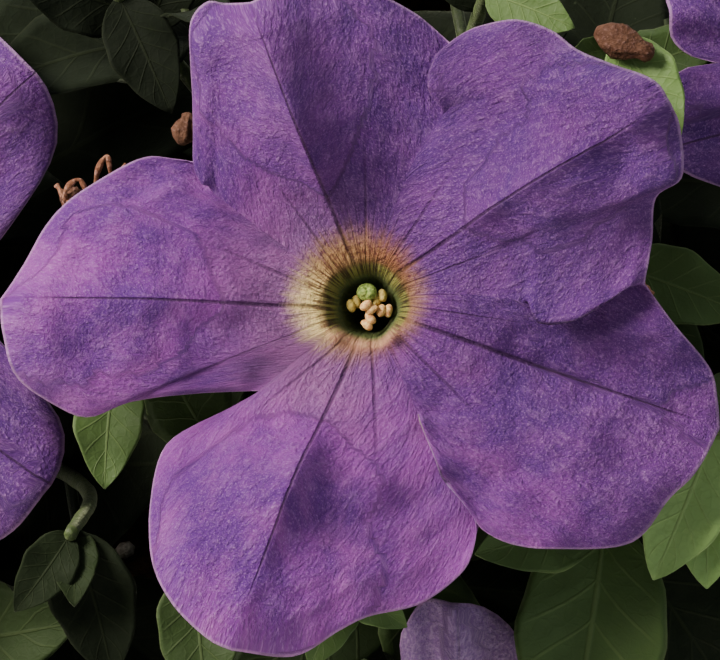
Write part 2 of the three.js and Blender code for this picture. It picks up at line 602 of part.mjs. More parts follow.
function soilSolid(stems) {
  const top = -SOIL.below;
  const deep = POT.height - POT.floor - SEAT_GAP;
  const narrowed = (below) => mix(POT.rim, POT.base, below / (POT.height - POT.floor));
  const inner = (below) => narrowed(below) - POT.wall - SEAT_GAP;
  const foot = [[0, RIM_Z - deep], [inner(deep), RIM_Z - deep]];
  const body = turned(WORLD, [...foot, [inner(SOIL.below), RIM_Z + top], [0, RIM_Z + top]], POT.sides);
  const holes = stems.map(({ path }) => {
    const foot = path.getPoint(0);
    const from = foot.clone().setZ(foot.z - SEAT_GAP);
    return bar(from, foot.clone().setZ(RIM_Z), STEM.radius + 1, 4);
  });
  return holes.reduce((solid, hole) => solid.subtract(hole), body);
}

// One wire, with a ball at each end: above the hub, and below the pot's lug.
function wireSolid(i) {
  const [top, foot] = wireEnds(i);
  const along = foot.clone().sub(top).normalize();
  const topBall = top.clone().addScaledVector(along, -WIRE.ballRadius - SEAT_GAP - 0.8);
  const footBall = foot.clone().addScaledVector(along, WIRE.ballRadius + SEAT_GAP + LUG.thick / 2 + 0.4);
  const balls = [topBall, footBall].map((centre) =>
    moved(new THREE.SphereGeometry(WIRE.ballRadius, 6, 4).rotateX(radians(90)), ...centre.toArray()));
  return union([bar(topBall, footBall, WIRE.radius, 5), ...balls]);
}

function hookSolid() {
  const { rod, bow, hubRadius, hubThick, hubTop } = HOOK;
  const onBow = (degrees) => {
    const [x, z] = polar(bow + rod, radians(degrees));
    return vec(x, 0, z - bow);
  };
  const arc = times(9, (i) => onBow(mix(208, -32, i / 8)));
  const shank = [vec(7, 0, -34), vec(1.2, 0, -43), vec(0, 0, -50), vec(0, 0, hubTop - hubThick / 2)];
  const hubLow = hubTop - hubThick;
  const hub = turned(WORLD, [[0, hubLow], [hubRadius, hubLow], [hubRadius, hubTop], [0, hubTop]], 12);
  const holes = times(WIRE.count, (i) => bar(...wireEnds(i), LUG.hole, 6, 12));
  const whole = union([tube(strand([...arc, ...shank]), rod, 6, 24), hub]);
  return holes.reduce((solid, hole) => solid.subtract(hole), whole);
}

// ---- The whole basket ----
const paint = (look) => new THREE.MeshStandardMaterial({ metalness: 0, ...look });
const materials = Object.fromEntries(Object.entries(COLOURS).map(([name, look]) => [name, paint(look)]));
times(WIRE.count, (i) => keep(ballsAlong(new THREE.LineCurve3(...wireEnds(i)), WIRE.radius + 1, 0, 1, 70)));
times(WIRE.count, (i) => keep([{ p: wireEnds(i)[1], r: 10 }]));
const { blooms, facing } = placeBlooms();
const stems = growStems(blooms, facing);

const basket = new THREE.Group();
const label = (kind, number) => `${kind}_${String(number + 1).padStart(2, "0")}`;
basket.add(meshFrom("pot", potSolid(), materials.pot));
basket.add(meshFrom("soil", soilSolid(stems), materials.soil));
basket.add(meshFrom("hook", hookSolid(), materials.steel));
times(WIRE.count, (i) => basket.add(meshFrom(label("wire", i), wireSolid(i), materials.steel)));
for (const bloom of blooms) {
  const corolla = bloom.number === 0 ? corollaSolid(bloom, 8, 3) : corollaSolid(bloom, 4, 2);
  basket.add(meshFrom(label("bloom", bloom.number), corolla, materials.petal));
  const anthers = stamensSolid(bloom, 2 * bloom.number);
  basket.add(meshFrom(label("stamens", bloom.number), anthers, materials.stamens));
}
for (const stem of stems) {
  basket.add(meshFrom(label("stem", stem.number), stemSolid(stem), materials.foliage));
}

export default basket;
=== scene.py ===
"""A petunia hanging basket: fine blooms, foliage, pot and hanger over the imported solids."""

import math

import bpy
import numpy as np
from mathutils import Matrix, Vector


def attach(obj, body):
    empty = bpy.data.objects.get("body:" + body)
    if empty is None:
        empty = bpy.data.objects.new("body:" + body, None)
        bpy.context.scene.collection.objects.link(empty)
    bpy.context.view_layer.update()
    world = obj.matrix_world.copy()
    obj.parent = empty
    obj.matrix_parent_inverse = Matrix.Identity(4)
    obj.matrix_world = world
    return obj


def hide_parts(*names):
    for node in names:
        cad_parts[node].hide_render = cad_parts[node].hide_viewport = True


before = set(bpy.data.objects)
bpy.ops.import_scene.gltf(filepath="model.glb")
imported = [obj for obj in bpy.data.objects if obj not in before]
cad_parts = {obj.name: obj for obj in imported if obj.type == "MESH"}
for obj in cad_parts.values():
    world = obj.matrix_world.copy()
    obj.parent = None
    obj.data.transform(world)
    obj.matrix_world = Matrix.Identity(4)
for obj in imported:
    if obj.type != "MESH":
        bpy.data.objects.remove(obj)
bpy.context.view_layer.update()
MM = 0.001
FULL = 2 * math.pi
GOLDEN = math.radians(137.50776405)

# ---- Sizes in millimetres, the same as the solids' ----
SEAT_GAP = 0.3
RIM_Z = -330
POT = dict(rim=102, base=74, height=118, wall=2.4, floor=3, lip_out=4, lip_deep=9)
SOIL = dict(below=14)
GRAINS = dict(count=150, size=(0.8, 1.9))
DRAIN = dict(count=4, radius=5, ring=44)
LUG = dict(ring=111, width=15, inner=103, outer=118, thick=4.5, below=1, hole=1.8)
WIRE = dict(radius=1.2, ball=3, count=3, first=90, top_ring=8.5)
HOOK = dict(rod=2.5, bow=14, hub_radius=14, hub_thick=5, hub_top=-56)
HOOK_SHANK = [(7, -34), (1.2, -43), (0, -50)]
MOUND = dict(radius=155, height=112, squareness=0.7, lift=6)
MAIN = dict(azimuth=-90, climb=40, rise=40, lean=(-0.1, 0.08), turn=5.1, wave=1.2)
BLOOM = dict(count=18, reach=42, notch=23, throat=5.6, tube=36)
APART = 86
# Blooms over the mound: the spots tried, their lowest and highest climb, how far they turn up and their size.
SPREAD = dict(spots=160, lowest=-8, highest=88, upward=0.22, size=0.96, turn=31)
# A stem comes out of the soil between two rings, arches over a hump and straightens below its bloom.
STEM = dict(radius=1.5, shoot=1.1, soil_deep=12, inner=12, outer=66, reach=120, hump=97, straight=12, heel=3)
# A leaf: its half width's share of its length, how deep a trough it makes, its veins' number and slant, and
# how uneven it is.
LEAF = dict(share=0.28, small=24, sampled=8, trough=0.22, veins=6.5, slant=0.24)
LEAF_WAVES = dict(ruffle=0.03, quilt=0.007, notch=0.035, sway=0.02)
# Shoots leave a stem from a heel deep under their tip, by a knee.
SHOOTS = dict(count=17, apart=38, from_bloom=38, deep=9, spots=90, lowest=-36, highest=82, heel=38, knee=20)
# Leaves of a shoot and of a bloom's stem: the share of the way up, the length and the pitch in radians.
SHOOT_LEAVES = [(0.98, 14, 0.9), (0.955, 18, 0.75), (0.9, 24, 0.6), (0.74, 33, 0.45), (0.52, 42, 0.3)]
STEM_LEAVES = [
    (0.92, 18, 0.5), (0.88, 21, 0.5), (0.76, 34, 0.4), (0.67, 42, 0.3),
    (0.58, 48, 0.3), (0.5, 52, 0.4), (0.43, 50, 0.6),
]
# The main bloom's outline, from the upper right lobe on: each lobe from its first notch, by its rise, to the
# end of its rib, and by its fall to the next lobe's notch.
MAIN_LOBES = [
    dict(throat=45, fold=1, notch=(33.6, 2.4),
         rise=[(34.4, 7.2), (34.9, 12.6), (38.1, 15), (37.8, 21)], rib=(36.8, 23.6),
         fall=[(34.8, 26.4), (29.4, 28.7), (25.6, 30.4), (22.2, 33), (18, 34.2), (13.2, 33.4)]),
    dict(throat=106, fold=1.3, notch=(10, 31.6),
         rise=[(7.8, 33.6), (5.4, 35.4), (0.6, 37.6), (-5.4, 38.8)], rib=(-13.2, 35.6),
         fall=[(-16.8, 36), (-19, 36.4), (-21, 34.2), (-21.1, 29.4), (-20.8, 23.4)]),
    dict(throat=182, fold=0.8, notch=(-20.8, 17.2),
         rise=[(-23.4, 17.6), (-26.4, 17.8), (-30, 16.2), (-34.8, 13.2), (-38.4, 9.6), (-41.4, 4.8)],
         rib=(-43.8, 0.4),
         fall=[(-43.2, -3.6), (-41.6, -9), (-36.6, -12.6), (-33, -13.6), (-28, -11.8), (-20, -10.8)]),
    dict(throat=256, fold=1.2, notch=(-12.6, -10.4),
         rise=[(-15.8, -12.9), (-20, -14.4), (-24, -17.4), (-25.4, -24), (-25, -30.8), (-22.4, -36),
               (-18, -40.2)],
         rib=(-15, -41.6),
         fall=[(-7.8, -42.2), (-2.4, -39.2), (1.2, -37.4), (7.2, -35.8), (12, -32), (13.4, -28.8)]),
    dict(throat=340, fold=-0.9, notch=(13.6, -26),
         rise=[(15, -27.4), (18, -28.7), (22.8, -29.2), (31.8, -28.3), (36.4, -23), (39.6, -19.8)],
         rib=(42.4, -14.4),
         fall=[(42.1, -10.8), (41.2, -7.2), (37.2, -2.4)]),
]
# Where two lobes of the main bloom lap: joint k lies before lobe k. over is 1 where that lobe lies on top and
# -1 where the one before it does. line is the joint's run and edge the upper margin's, as (radius, degrees).
LAPS = [
    dict(joint=0, over=1, lift=1.2, line=[(5.6, 12.5), (12, 6), (19.2, 0.8), (26, 2.5), (33.7, 4.1)],
         edge=[(19.2, 0.8), (19.8, -3.5), (21.0, -8.6), (22.5, -8.7), (25.4, -6.8), (28.8, -1.8),
               (31, 1.4), (33.7, 4.1)]),
    dict(joint=1, over=-1, lift=1.1, line=[(5.6, 75.5), (15, 73), (24.4, 68), (28, 70.5), (33.1, 72.4)],
         edge=[(24.4, 68), (25.2, 72), (26.2, 74.2), (27.9, 75.4), (30.4, 75.1), (33.1, 72.4)]),
    dict(joint=2, over=-1, lift=0.9, line=[(5.6, 144), (15, 144.2), (22.6, 143.8), (27, 140.4)],
         edge=[(22.6, 143.8), (23.7, 145.4), (25.4, 143.6), (27, 140.4)]),
    dict(joint=4, over=1, lift=1.0, line=[(5.6, -62), (14, -63.5), (22, -62.5), (29.3, -62.4)],
         edge=[(14, -64.5), (17.2, -65.6), (19.5, -65.6), (22.3, -66), (25.8, -63.6), (29.3, -62.4)]),
]
# Ribs' directions round an even bloom, in degrees, and the lobes' shares of their usual reach.
EVEN_RIBS = (0, 72, 144, 216, 288)
EVEN = (1, 1, 1, 1, 1)
# The main bloom's neighbours. at is right of, above and out from its middle, ribs are in degrees, notches and
# tips are shares of an even lobe's, and the last value is how much paler the flower is painted: painted light
# where the main bloom shades it.
NEAR_BLOOMS = [
    dict(at=(-69, 0, -28), size=0.95, turn=-20, notches=(1, 0.6, 1, 1, 1), tips=(1, 1.05, 1, 1, 1)),
    dict(at=(74, 29, -27), size=0.95, turn=148, ribs=(0, 34, 92, 190, 272), notches=(1, 1, 0.6, 1, 1)),
    dict(at=(12, -70, -30), size=0.98, turn=14, ribs=(0, 72, 108, 196, 276), notches=(1, 0.6, 0.95, 1, 1),
         tips=(1, 0.96, 0.78, 1, 1), painted_light=0.9),
    dict(at=(-66, -80, -40), size=0.93, turn=50),
]
# The shoots near the main bloom. A leaf is the share of the way up the shoot and where its tip reaches, and
# light is how young each one is, from nearly black to the palest green; the dark end is painted shade.
NEAR_SHOOTS = [
    dict(at=(-31, -7, -13), leaves=[(0.97, -31.8, -22, -10)], light=[0.34]),
    dict(at=(-36, -28, -12), leaves=[(0.98, -42.5, -37, -9), (0.93, -35.5, -36, -9), (0.95, -31, -46, -15)],
         light=[0.1, 0.15, 0]),
    dict(at=(-21, -32, -10), leaves=[(0.97, -19, -49, -7)], light=[0.25]),
    dict(at=(-3, -34, -6), leaves=[(0.97, 5, -39, -6), (0.9, -6.5, -43.5, -6)], light=[0.5, 0.45]),
    dict(at=(43, -15, -5), leaves=[(0.98, 35, -33, -3), (0.9, 41.5, -34, -5), (0.75, 52, -26, -10)],
         light=[1, 0.85, 0.1]),
    dict(at=(30, -26, -14), leaves=[(0.97, 24, -58, -10), (0.85, 45, -48, -18), (0.9, 14.5, -30, -8)],
         light=[0.34, 0.1, 0.4]),
    dict(at=(31, 5, -10), leaves=[(0.97, 46, -1, -8), (0.88, 41, -9, -9)], light=[0.3, 0.2]),
    dict(at=(31, 33, -9), leaves=[(0.97, 38, 21, -5), (0.9, 25, 30, -8)], light=[0.55, 0.3]),
    dict(at=(15, 39, -12), leaves=[(0.97, 25, 34, -8), (0.85, 8, 50, -14)], light=[0.4, 0.05]),
    dict(at=(-31, 39, -18), leaves=[(0.97, -24, 24, -17), (0.85, -43, 41, -15), (0.75, -22, 46, -20)],
         light=[0, 0, 0]),
]
# A throat's visible inner wall and the tube's outside, as (radius, z).
THROAT = [
    (5.1, -1.1), (4.6, -1.7), (4.15, -2.5), (3.75, -3.5), (3.35, -4.8), (2.95, -6.4), (2.5, -8.8), (2.1, -12),
    (1.6, -18), (0.9, -23.2), (0.1, -24),
]
TUBE = [
    (7.2, -4.5), (6.1, -8.5), (5.2, -13), (4.5, -18), (3.9, -23), (3.2, -28), (2.5, -32.5), (1.95, -35.8),
    (0.1, -36),
]
# How finely things are drawn: a lobe's columns and rows, a leaf's rows and half its columns, and an anther's
# sides and rows.
PETAL_FACES = dict(main=(72, 104), near=(28, 40), far=(18, 24))
LEAF_FACES = dict(near=(20, 9), far=(15, 6), under=(10, 4))
ANTHER_FACES = dict(main=(16, 10), other=(8, 6))
PETAL_THICK = 0.42
LEAF_THICK = 0.34
# How high a lobe's fold rises along its rib, on the main bloom and on the others. The crease is the sharp
# part of the main bloom's, and the groove runs along every rib.
FOLD = dict(main=3.8, other=1.8, crease=1.3, groove=0.3)
# A limb's margin: where it begins, its ruffles' height and number, and how far it rolls back.
MARGIN = dict(begin=0.86, ruffle=0.5, waves=4.3, roll=0.9)
# How far a lapped petal reaches on under the upper one, and how deep it lies.
LAP = dict(tuck=2.4, sink=1.2)


# ---- Small helpers ----
class Draws:
    """Repeatable draws from 0 to 1, the same as the solids'."""

    def __init__(self, seed):
        self.state = seed & 0xFFFFFFFF

    def __call__(self):
        m = 0xFFFFFFFF
        self.state = t = (self.state + 0x6D2B79F5) & m
        t = ((t ^ (t >> 15)) * (t | 1)) & m
        t ^= (t + (((t ^ (t >> 7)) * (t | 61)) & m)) & m
        return ((t ^ (t >> 14)) & m) / 4294967296

    def within(self, low, high):
        return low + (high - low) * self()


def mix(a, b, t):
    return a + (b - a) * t


def smooth(low, high, x):
    t = np.clip((x - low) / (high - low), 0, 1)
    return t * t * (3 - 2 * t)


def vec(*p):
    return np.array(p, float)


def unit(p):
    return p / np.linalg.norm(p)


def polar(radius, angle):
    return vec(radius * math.cos(angle), radius * math.sin(angle))


def spun(radius, angle):
    """Points in the plane by radius and angle."""
    return np.stack([radius * np.cos(angle), radius * np.sin(angle)], -1)


def level(radius, angle, z):
    """A level ring of points by radius and angle."""
    return np.stack([radius * np.cos(angle), radius * np.sin(angle), z + 0 * angle], -1)


def far_from(point, others, distance):
    return all(np.linalg.norm(other - point) > distance for other in others)


def circle(sides):
    """The angles of evenly spaced points round a circle."""
    return FULL * np.arange(sides) / sides


def numbered(name, thing):
    return f"{name}_{thing['number'] + 1:02d}"


UP = vec(0, 0, 1)


class Strand:
    """A smooth line through points, the same as three.js draws it."""

    def __init__(self, points):
        self.p = np.array(points, float)
        self.lengths = None

    def points(self, t):
        t = np.asarray(t, float)
        l = len(self.p)
        place = (l - 1) * t
        i = np.minimum(np.floor(place).astype(int), l - 2)
        w = (place - i)[..., None]
        ends = [2 * self.p[0] - self.p[1], 2 * self.p[-1] - self.p[-2]]
        p = np.vstack([ends[0][None], self.p, ends[1][None]])
        p0, p1, p2, p3 = p[i], p[i + 1], p[i + 2], p[i + 3]
        a, b = 0.5 * (p2 - p0), 0.5 * (p3 - p1)
        return p1 + w * (a + w * ((-3 * p1 + 3 * p2 - 2 * a - b) + w * (2 * p1 - 2 * p2 + a + b)))

    def point(self, t):
        return self.points(np.array([t]))[0]

    def tangent(self, t):
        a, b = max(t - 1e-4, 0), min(t + 1e-4, 1)
        return unit(self.point(b) - self.point(a))

    def even_points(self, u):
        """Points at shares of the length."""
        if self.lengths is None:
            p = self.points(np.linspace(0, 1, 201))
            self.lengths = np.concatenate([[0], np.cumsum(np.linalg.norm(np.diff(p, axis=0), axis=1))])
        t = np.interp(np.asarray(u) * self.lengths[-1], self.lengths, np.linspace(0, 1, 201))
        return self.points(t)


class Axes:
    """X right and Y up as seen from in front, Z towards the viewer."""

    def __init__(self, centre, x, y, z):
        self.centre, self.x, self.y, self.z = centre, x, y, z

    def at(self, right, up, out):
        r, u, o = (np.asarray(v, float)[..., None] for v in (right, up, out))
        return self.centre + r * self.x + u * self.y + o * self.z

    def way(self, right, up, out):
        return self.at(right, up, out) - self.centre


def axes_of(centre, normal, turn=0.0):
    z = unit(normal)
    right = unit(np.cross(UP, z))
    upward = np.cross(z, right)
    x = right * math.cos(turn) + upward * math.sin(turn)
    return Axes(centre, x, np.cross(z, x), z)


class Noise:
    """Smooth lattice noise from -1 to 1 over points, repeatable."""

    def __init__(self, seed):
        self.table = np.random.default_rng(seed).uniform(-1, 1, (32, 32, 32))

    def __call__(self, p, size):
        q = np.asarray(p, float) / size
        i = np.floor(q).astype(int)
        f = q - i
        f = f * f * (3 - 2 * f)
        out = 0
        for dx in (0, 1):
            for dy in (0, 1):
                for dz in (0, 1):
                    w = np.ones(q.shape[:-1])
                    for axis, d in enumerate((dx, dy, dz)):
                        w = w * (f[..., axis] if d else 1 - f[..., axis])
                    corner = (i + (dx, dy, dz)) % 32
                    out = out + w * self.table[corner[..., 0], corner[..., 1], corner[..., 2]]
        return out


NOISE = Noise(5)


def uneven(p, waves):
    """Heights over points from waves of (height, size, shift)."""
    return sum(height * NOISE(p + shift, size) for height, size, shift in waves)


# ---- Free room ----
class Room:
    """What has been placed, as balls that a newcomer has to miss unless they have its owner."""

    def __init__(self, most=40000):
        self.p, self.r, self.owner, self.n = np.zeros((most, 3)), np.zeros(most), np.full(most, -1), 0

    def keep(self, p, r, owner=-1):
        k = len(p)
        self.p[self.n:self.n + k], self.r[self.n:self.n + k], self.owner[self.n:self.n + k] = p, r, owner
        self.n += k

    def clear(self, p, r, owner=-2, room=1.0, share=1.0):
        p, r = np.asarray(p), np.broadcast_to(r, len(p))
        middle = p.mean(0)
        spread = np.linalg.norm(p - middle, axis=1).max() + r.max() + 15
        near = (np.abs(self.p[: self.n] - middle) < spread).all(1) & (self.owner[: self.n] != owner)
        if not near.any():
            return True
        q, s = self.p[: self.n][near], self.r[: self.n][near]
        apart = np.linalg.norm(p[:, None] - q[None], axis=2)
        return bool((apart > (r[:, None] + s[None]) * share + room).all())


room = Room()


def off_pot(p, r):
    """Whether balls lie clear of the pot."""
    p = np.asarray(p)
    r = np.broadcast_to(r, len(p))
    below = RIM_Z - p[:, 2]
    outside = mix(POT["rim"], POT["base"], np.maximum(below, 0) / POT["height"]) + POT["lip_out"]
    return bool(((below < -r - 1) | (np.hypot(p[:, 0], p[:, 1]) > outside + r + 1)).all())


def mound_spot(azimuth, climb, deep=0.0):
    """A point on the mound or deep under it, and the way out there."""
    ring = MOUND["radius"] * math.cos(climb) ** MOUND["squareness"]
    outward = vec(math.cos(azimuth), math.sin(azimuth), 0)
    normal = outward * MOUND["height"] * math.cos(climb)
    normal[2] = ring * MOUND["squareness"] * math.tan(climb)
    normal = unit(normal)
    centre = outward * ring
    centre[2] = RIM_Z + MOUND["lift"] + MOUND["height"] * math.sin(climb)
    return centre - normal * deep, normal


def mound_spots(count, lowest, highest, deep, first=0):
    """Evenly spread spots from a lowest to a highest climb, in degrees."""
    for i in range(count):
        height = mix(math.sin(math.radians(lowest)), math.sin(math.radians(highest)), (i + 0.5) / count)
        yield mound_spot((i + first) * GOLDEN, math.asin(height), deep)


# ---- Blooms' forms ----
def throat_angles(ribs, k):
    """Where lobe k begins, has its rib and ends round the throat."""
    before = ribs[k - 1] if k > 0 else ribs[4] - FULL
    after = ribs[k + 1] if k < 4 else ribs[0] + FULL
    return (before + ribs[k]) / 2, ribs[k], (ribs[k] + after) / 2


def margin_of(rise, fall):
    """A lobe's outline by the share of the way along it, from its two halves."""

    def margin(s):
        s = np.asarray(s, float)
        first = s < 0.5
        rising, falling = rise.even_points(2 * s.clip(0, 0.5)), fall.even_points((2 * s - 1).clip(0, 1))
        return np.where(first[..., None], rising, falling)

    return margin


def main_lobes():
    ribs = [math.radians(lobe["throat"]) for lobe in MAIN_LOBES]
    made = []
    for k, lobe in enumerate(MAIN_LOBES):
        end = MAIN_LOBES[(k + 1) % 5]["notch"]
        rise = Strand([lobe["notch"]] + lobe["rise"] + [lobe["rib"]])
        margin = margin_of(rise, Strand([lobe["rib"]] + lobe["fall"] + [end]))
        made.append(dict(throat=throat_angles(ribs, k), margin=margin, fold=lobe["fold"]))
    return made


def grown_lobes(draw, size, places, notches, tips):
    """Lobes about ribs near the given degrees.

    Two that stand close are joined further out, and a deep notch is a wide one.
    """
    ribs = [math.radians(place + draw.within(-5, 5)) for place in places]
    gaps = [ribs[k] - (ribs[k - 1] if k else ribs[4] - FULL) for k in range(5)]
    cuts = [
        size * BLOOM["notch"] * notch * (math.radians(72) / gap) ** 0.4 * draw.within(0.9, 1.12)
        for notch, gap in zip(notches, gaps)
    ]
    reaches = [size * BLOOM["reach"] * tip * draw.within(0.93, 1.02) for tip in tips]
    folds = [draw.within(0.5, 1.3) for _ in range(5)]
    made = []
    for k in range(5):
        begin, rib, end = throat_angles(ribs, k)

        def margin(s, k=k, begin=begin, rib=rib, end=end):
            side = 2 * np.asarray(s, float) - 1
            first = side < 0
            after = (k + 1) % 5
            deep = np.clip(np.where(first, 1 - notches[k], 1 - notches[after]) / 0.4, 0, 1)
            full = (1 - np.abs(side) ** mix(3.2, 1.6, deep)) ** mix(0.55, 1.1, deep)
            radius = mix(np.where(first, cuts[k], cuts[after]), reaches[k], full)
            angle = mix(rib, np.where(first, begin, end), np.abs(side))
            return spun(radius, angle)

        made.append(dict(throat=(begin, rib, end), margin=margin, fold=folds[k]))
    return made


def throat_angle(throat, s):
    begin, rib, end = throat
    return np.where(s < 0.5, mix(begin, rib, 2 * s), mix(rib, end, 2 * s - 1))


# A limb's dome, its height, bend and depth at the throat, the rib's rise beside the margins and their droop.
LIMB = dict(dome=4.2, bend=2.2, sink=1.9, fold=2.6, droop=1)


def limb(bloom, lobe, s, t):
    """Points of a limb's front, at places s across its lobe and shares t out from the throat."""
    s, t = np.broadcast_arrays(np.asarray(s, float), np.asarray(t, float))
    angle = throat_angle(lobe["throat"], s)
    start = spun(BLOOM["throat"], angle)
    end = lobe["margin"](s)
    turn = np.arctan2(end[..., 1], end[..., 0]) - angle
    bent = (turn - FULL * np.round(turn / FULL)) * t * t
    radius = mix(BLOOM["throat"], np.hypot(end[..., 0], end[..., 1]), t)
    curved = spun(radius, angle + bent)
    side = np.abs(2 * s - 1)
    xy = mix(mix(start, end, t[..., None]), curved, (side**3)[..., None])
    out = np.minimum(np.hypot(xy[..., 0], xy[..., 1]) / BLOOM["reach"], 1.1)
    dome = LIMB["dome"] * np.sin(LIMB["bend"] * out) - LIMB["sink"]
    fold = t * (LIMB["fold"] * lobe["fold"] * (1 - side) - LIMB["droop"])
    wave = bloom["wave"] * t**3 * np.sin(np.pi * s) * np.sin(3 * FULL * s + 3 * lobe["throat"][1])
    return np.concatenate([xy, (dome + fold + wave)[..., None]], -1)


LIMB_S = np.array([0.08, 0.29, 0.5, 0.71, 0.92])[:, None]
LIMB_T = np.array([0.35, 0.6, 0.82, 1])[None]


def bloom_balls(bloom):
    """The room that a bloom takes up: its limb's balls and the ones down its tube."""
    p = np.concatenate([limb(bloom, lobe, LIMB_S, LIMB_T).reshape(-1, 3) for lobe in bloom["lobes"]])
    neck = [(0, 0, -5 - 6 * i) for i in range(7)]
    p = np.concatenate([p, neck])
    r = [2.6] * (len(p) - 7) + [mix(6.5, 5, i / 6) for i in range(7)]
    return bloom["axes"].at(*p.T), np.array(r)


def bloom_at(centre, normal, turn, lobes, wave, number, painted_light=0.0):
    return dict(axes=axes_of(centre, normal, turn), lobes=lobes, wave=wave, number=number, painted_light=painted_light)


def stem_path(bloom):
    """The line of a bloom's stem from under the soil to its calyx."""
    foot = -BLOOM["tube"] - STEM["heel"]
    end = bloom["axes"].at(0, 0, foot)
    before = bloom["axes"].at(0, 0, foot - STEM["straight"])
    azimuth, across = math.atan2(end[1], end[0]), math.hypot(end[0], end[1])
    root = mix(STEM["inner"], STEM["outer"], min(across / STEM["reach"], 1))

    def at(radius, above):
        return vec(*polar(radius, azimuth), RIM_Z + above)

    while not off_pot([before], 9) and math.hypot(before[0], before[1]) > 80:
        before[2] += 2
    hump = at(min(mix(root, across, 0.6), STEM["hump"]), max(0.6 * (end[2] - RIM_Z), 20))
    soil = at(root, -SOIL["below"] - STEM["soil_deep"])
    return Strand([soil, at(root, 1 - SOIL["below"]), at(root + 1, 0), hump, before, end])


def keep_wires():
    """Keeps the hanger's wires and their feet clear of foliage."""
    ends = [wire_ends(i) for i in range(WIRE["count"])]
    for top, foot in ends:
        room.keep(mix(top, foot, np.linspace(0, 1, 70)[:, None]), 2.2)
    for _, foot in ends:
        room.keep([foot], 10)


def place_blooms():
    """All blooms, and the axes of the view at the main one."""
    keep_wires()
    rise = math.radians(MAIN["rise"])
    view = vec(0, -math.cos(rise), math.sin(rise))
    middle, _ = mound_spot(math.radians(MAIN["azimuth"]), math.radians(MAIN["climb"]))
    facing = axes_of(middle, view)
    leaning, turn = facing.way(*MAIN["lean"], 1), math.radians(MAIN["turn"])
    blooms = [bloom_at(middle, leaning, turn, main_lobes(), MAIN["wave"], 0)]
    room.keep(*bloom_balls(blooms[0]))
    room.keep(stem_path(blooms[0]).points(np.linspace(0.1, 1, 30)), STEM["radius"], 0)

    def add(centre, normal, size, turn, ribs=EVEN_RIBS, notches=EVEN, tips=EVEN, painted_light=0.0):
        draw = Draws(100 + len(blooms))
        lobes = grown_lobes(draw, size, ribs, notches, tips)
        bloom = bloom_at(centre, normal, math.radians(turn), lobes, draw.within(1.2, 2), len(blooms), painted_light)
        path = stem_path(bloom)
        p, r = bloom_balls(bloom)
        if not (room.clear(p, r) and room.clear(path.points(np.linspace(0.15, 0.9, 24)), STEM["radius"])):
            return
        room.keep(p, r)
        room.keep(path.points(np.linspace(0.1, 1, 30)), STEM["radius"], len(blooms))
        blooms.append(bloom)

    for near in NEAR_BLOOMS:
        centre = facing.at(*near["at"])
        climb = math.asin((centre[2] - RIM_Z - MOUND["lift"]) / MOUND["height"])
        _, normal = mound_spot(math.atan2(centre[1], centre[0]), climb)
        add(centre, normal + view, **{key: value for key, value in near.items() if key != "at"})
    for centre, normal in mound_spots(SPREAD["spots"], SPREAD["lowest"], SPREAD["highest"], 0):
        apart = far_from(centre, [b["axes"].centre for b in blooms], APART)
        if apart and len(blooms) < BLOOM["count"]:
            add(centre, normal + SPREAD["upward"] * UP, SPREAD["size"], SPREAD["turn"] * len(blooms))
    return blooms, facing


# ---- Leaves and shoots' forms ----
def leaf_half(leaf, u):
    """Half a leaf's width at a share of its length."""
    return leaf["length"] * LEAF["share"] * np.sin(np.pi * np.clip(u, 0, 1) ** 0.8).clip(0) ** 0.75


def leaf_points(leaf, u, v):
    """Points at shares of a leaf's length and of its half width."""
    half, length = leaf_half(leaf, u), leaf["length"]
    lift = LEAF["trough"] * np.abs(v) * half - leaf["bend"] * length * u * u
    return leaf["axes"].at(v * half, u * length, lift)


def leaf_balls(leaf):
    rows = math.ceil(leaf["length"] / LEAF["sampled"])
    across = np.array([-0.85, -0.4, 0, 0.4, 0.85] if leaf["length"] > LEAF["small"] else [-0.8, 0, 0.8])
    u = mix(0.22, 0.9, np.arange(rows) / max(rows - 1, 1))
    p = leaf_points(leaf, u[:, None] + 0 * across[None], across[None] + 0 * u[:, None]).reshape(-1, 3)
    tip = leaf_points(leaf, np.array([1.0]), np.array([0.0]))
    return np.concatenate([p, tip]), np.array([2.4] * len(p) + [2.0])


def leaf_along(point, spread, light, length, bend):
    across = unit(np.cross(spread, light))
    return dict(axes=Axes(point, across, spread, np.cross(across, spread)), length=length, bend=bend)


def leaf_on(point, axis, light, around, pitch, length, draw):
    side = axes_of(point, axis)
    spread = side.way(*polar(math.cos(pitch), around), math.sin(pitch))
    spread[2] -= 0.12
    return leaf_along(point, unit(spread), light, length, draw.within(0.05, 0.28))


def grow_leaf(point, axis, light, around, pitch, length, owner, draw, free=1.0, share=1.0):
    """A leaf where there is room for one, within seven tries."""
    for attempt in range(7):
        turn = around + draw.within(-0.5, 0.5) * (1 + attempt)
        leaf = leaf_on(point, axis, light, turn, pitch + draw.within(-0.3, 0.3), length, draw)
        p, r = leaf_balls(leaf)
        if off_pot(p, r) and room.clear(p, r, owner, free, share):
            room.keep(p, r)
            return leaf
    return None


def reach_leaf(point, tip, light, young, owner):
    """A leaf from a point of an axis to where its tip is wanted."""
    length = np.linalg.norm(tip - point)
    leaf = dict(leaf_along(point, (tip - point) / length, light, length, 0.1), young=young)
    p, r = leaf_balls(leaf)
    if not off_pot(p, r) or not room.clear(p, r, owner):
        return None
    room.keep(p, r, owner)
    return leaf


def grow_leaves(places, path, light, owner, draw, free=1.0, share=1.0):
    grown = [
        grow_leaf(path.point(u), path.tangent(u), light, i * GOLDEN, pitch, length, owner, draw, free, share)
        for i, (u, length, pitch) in enumerate(places)
    ]
    return [leaf for leaf in grown if leaf]


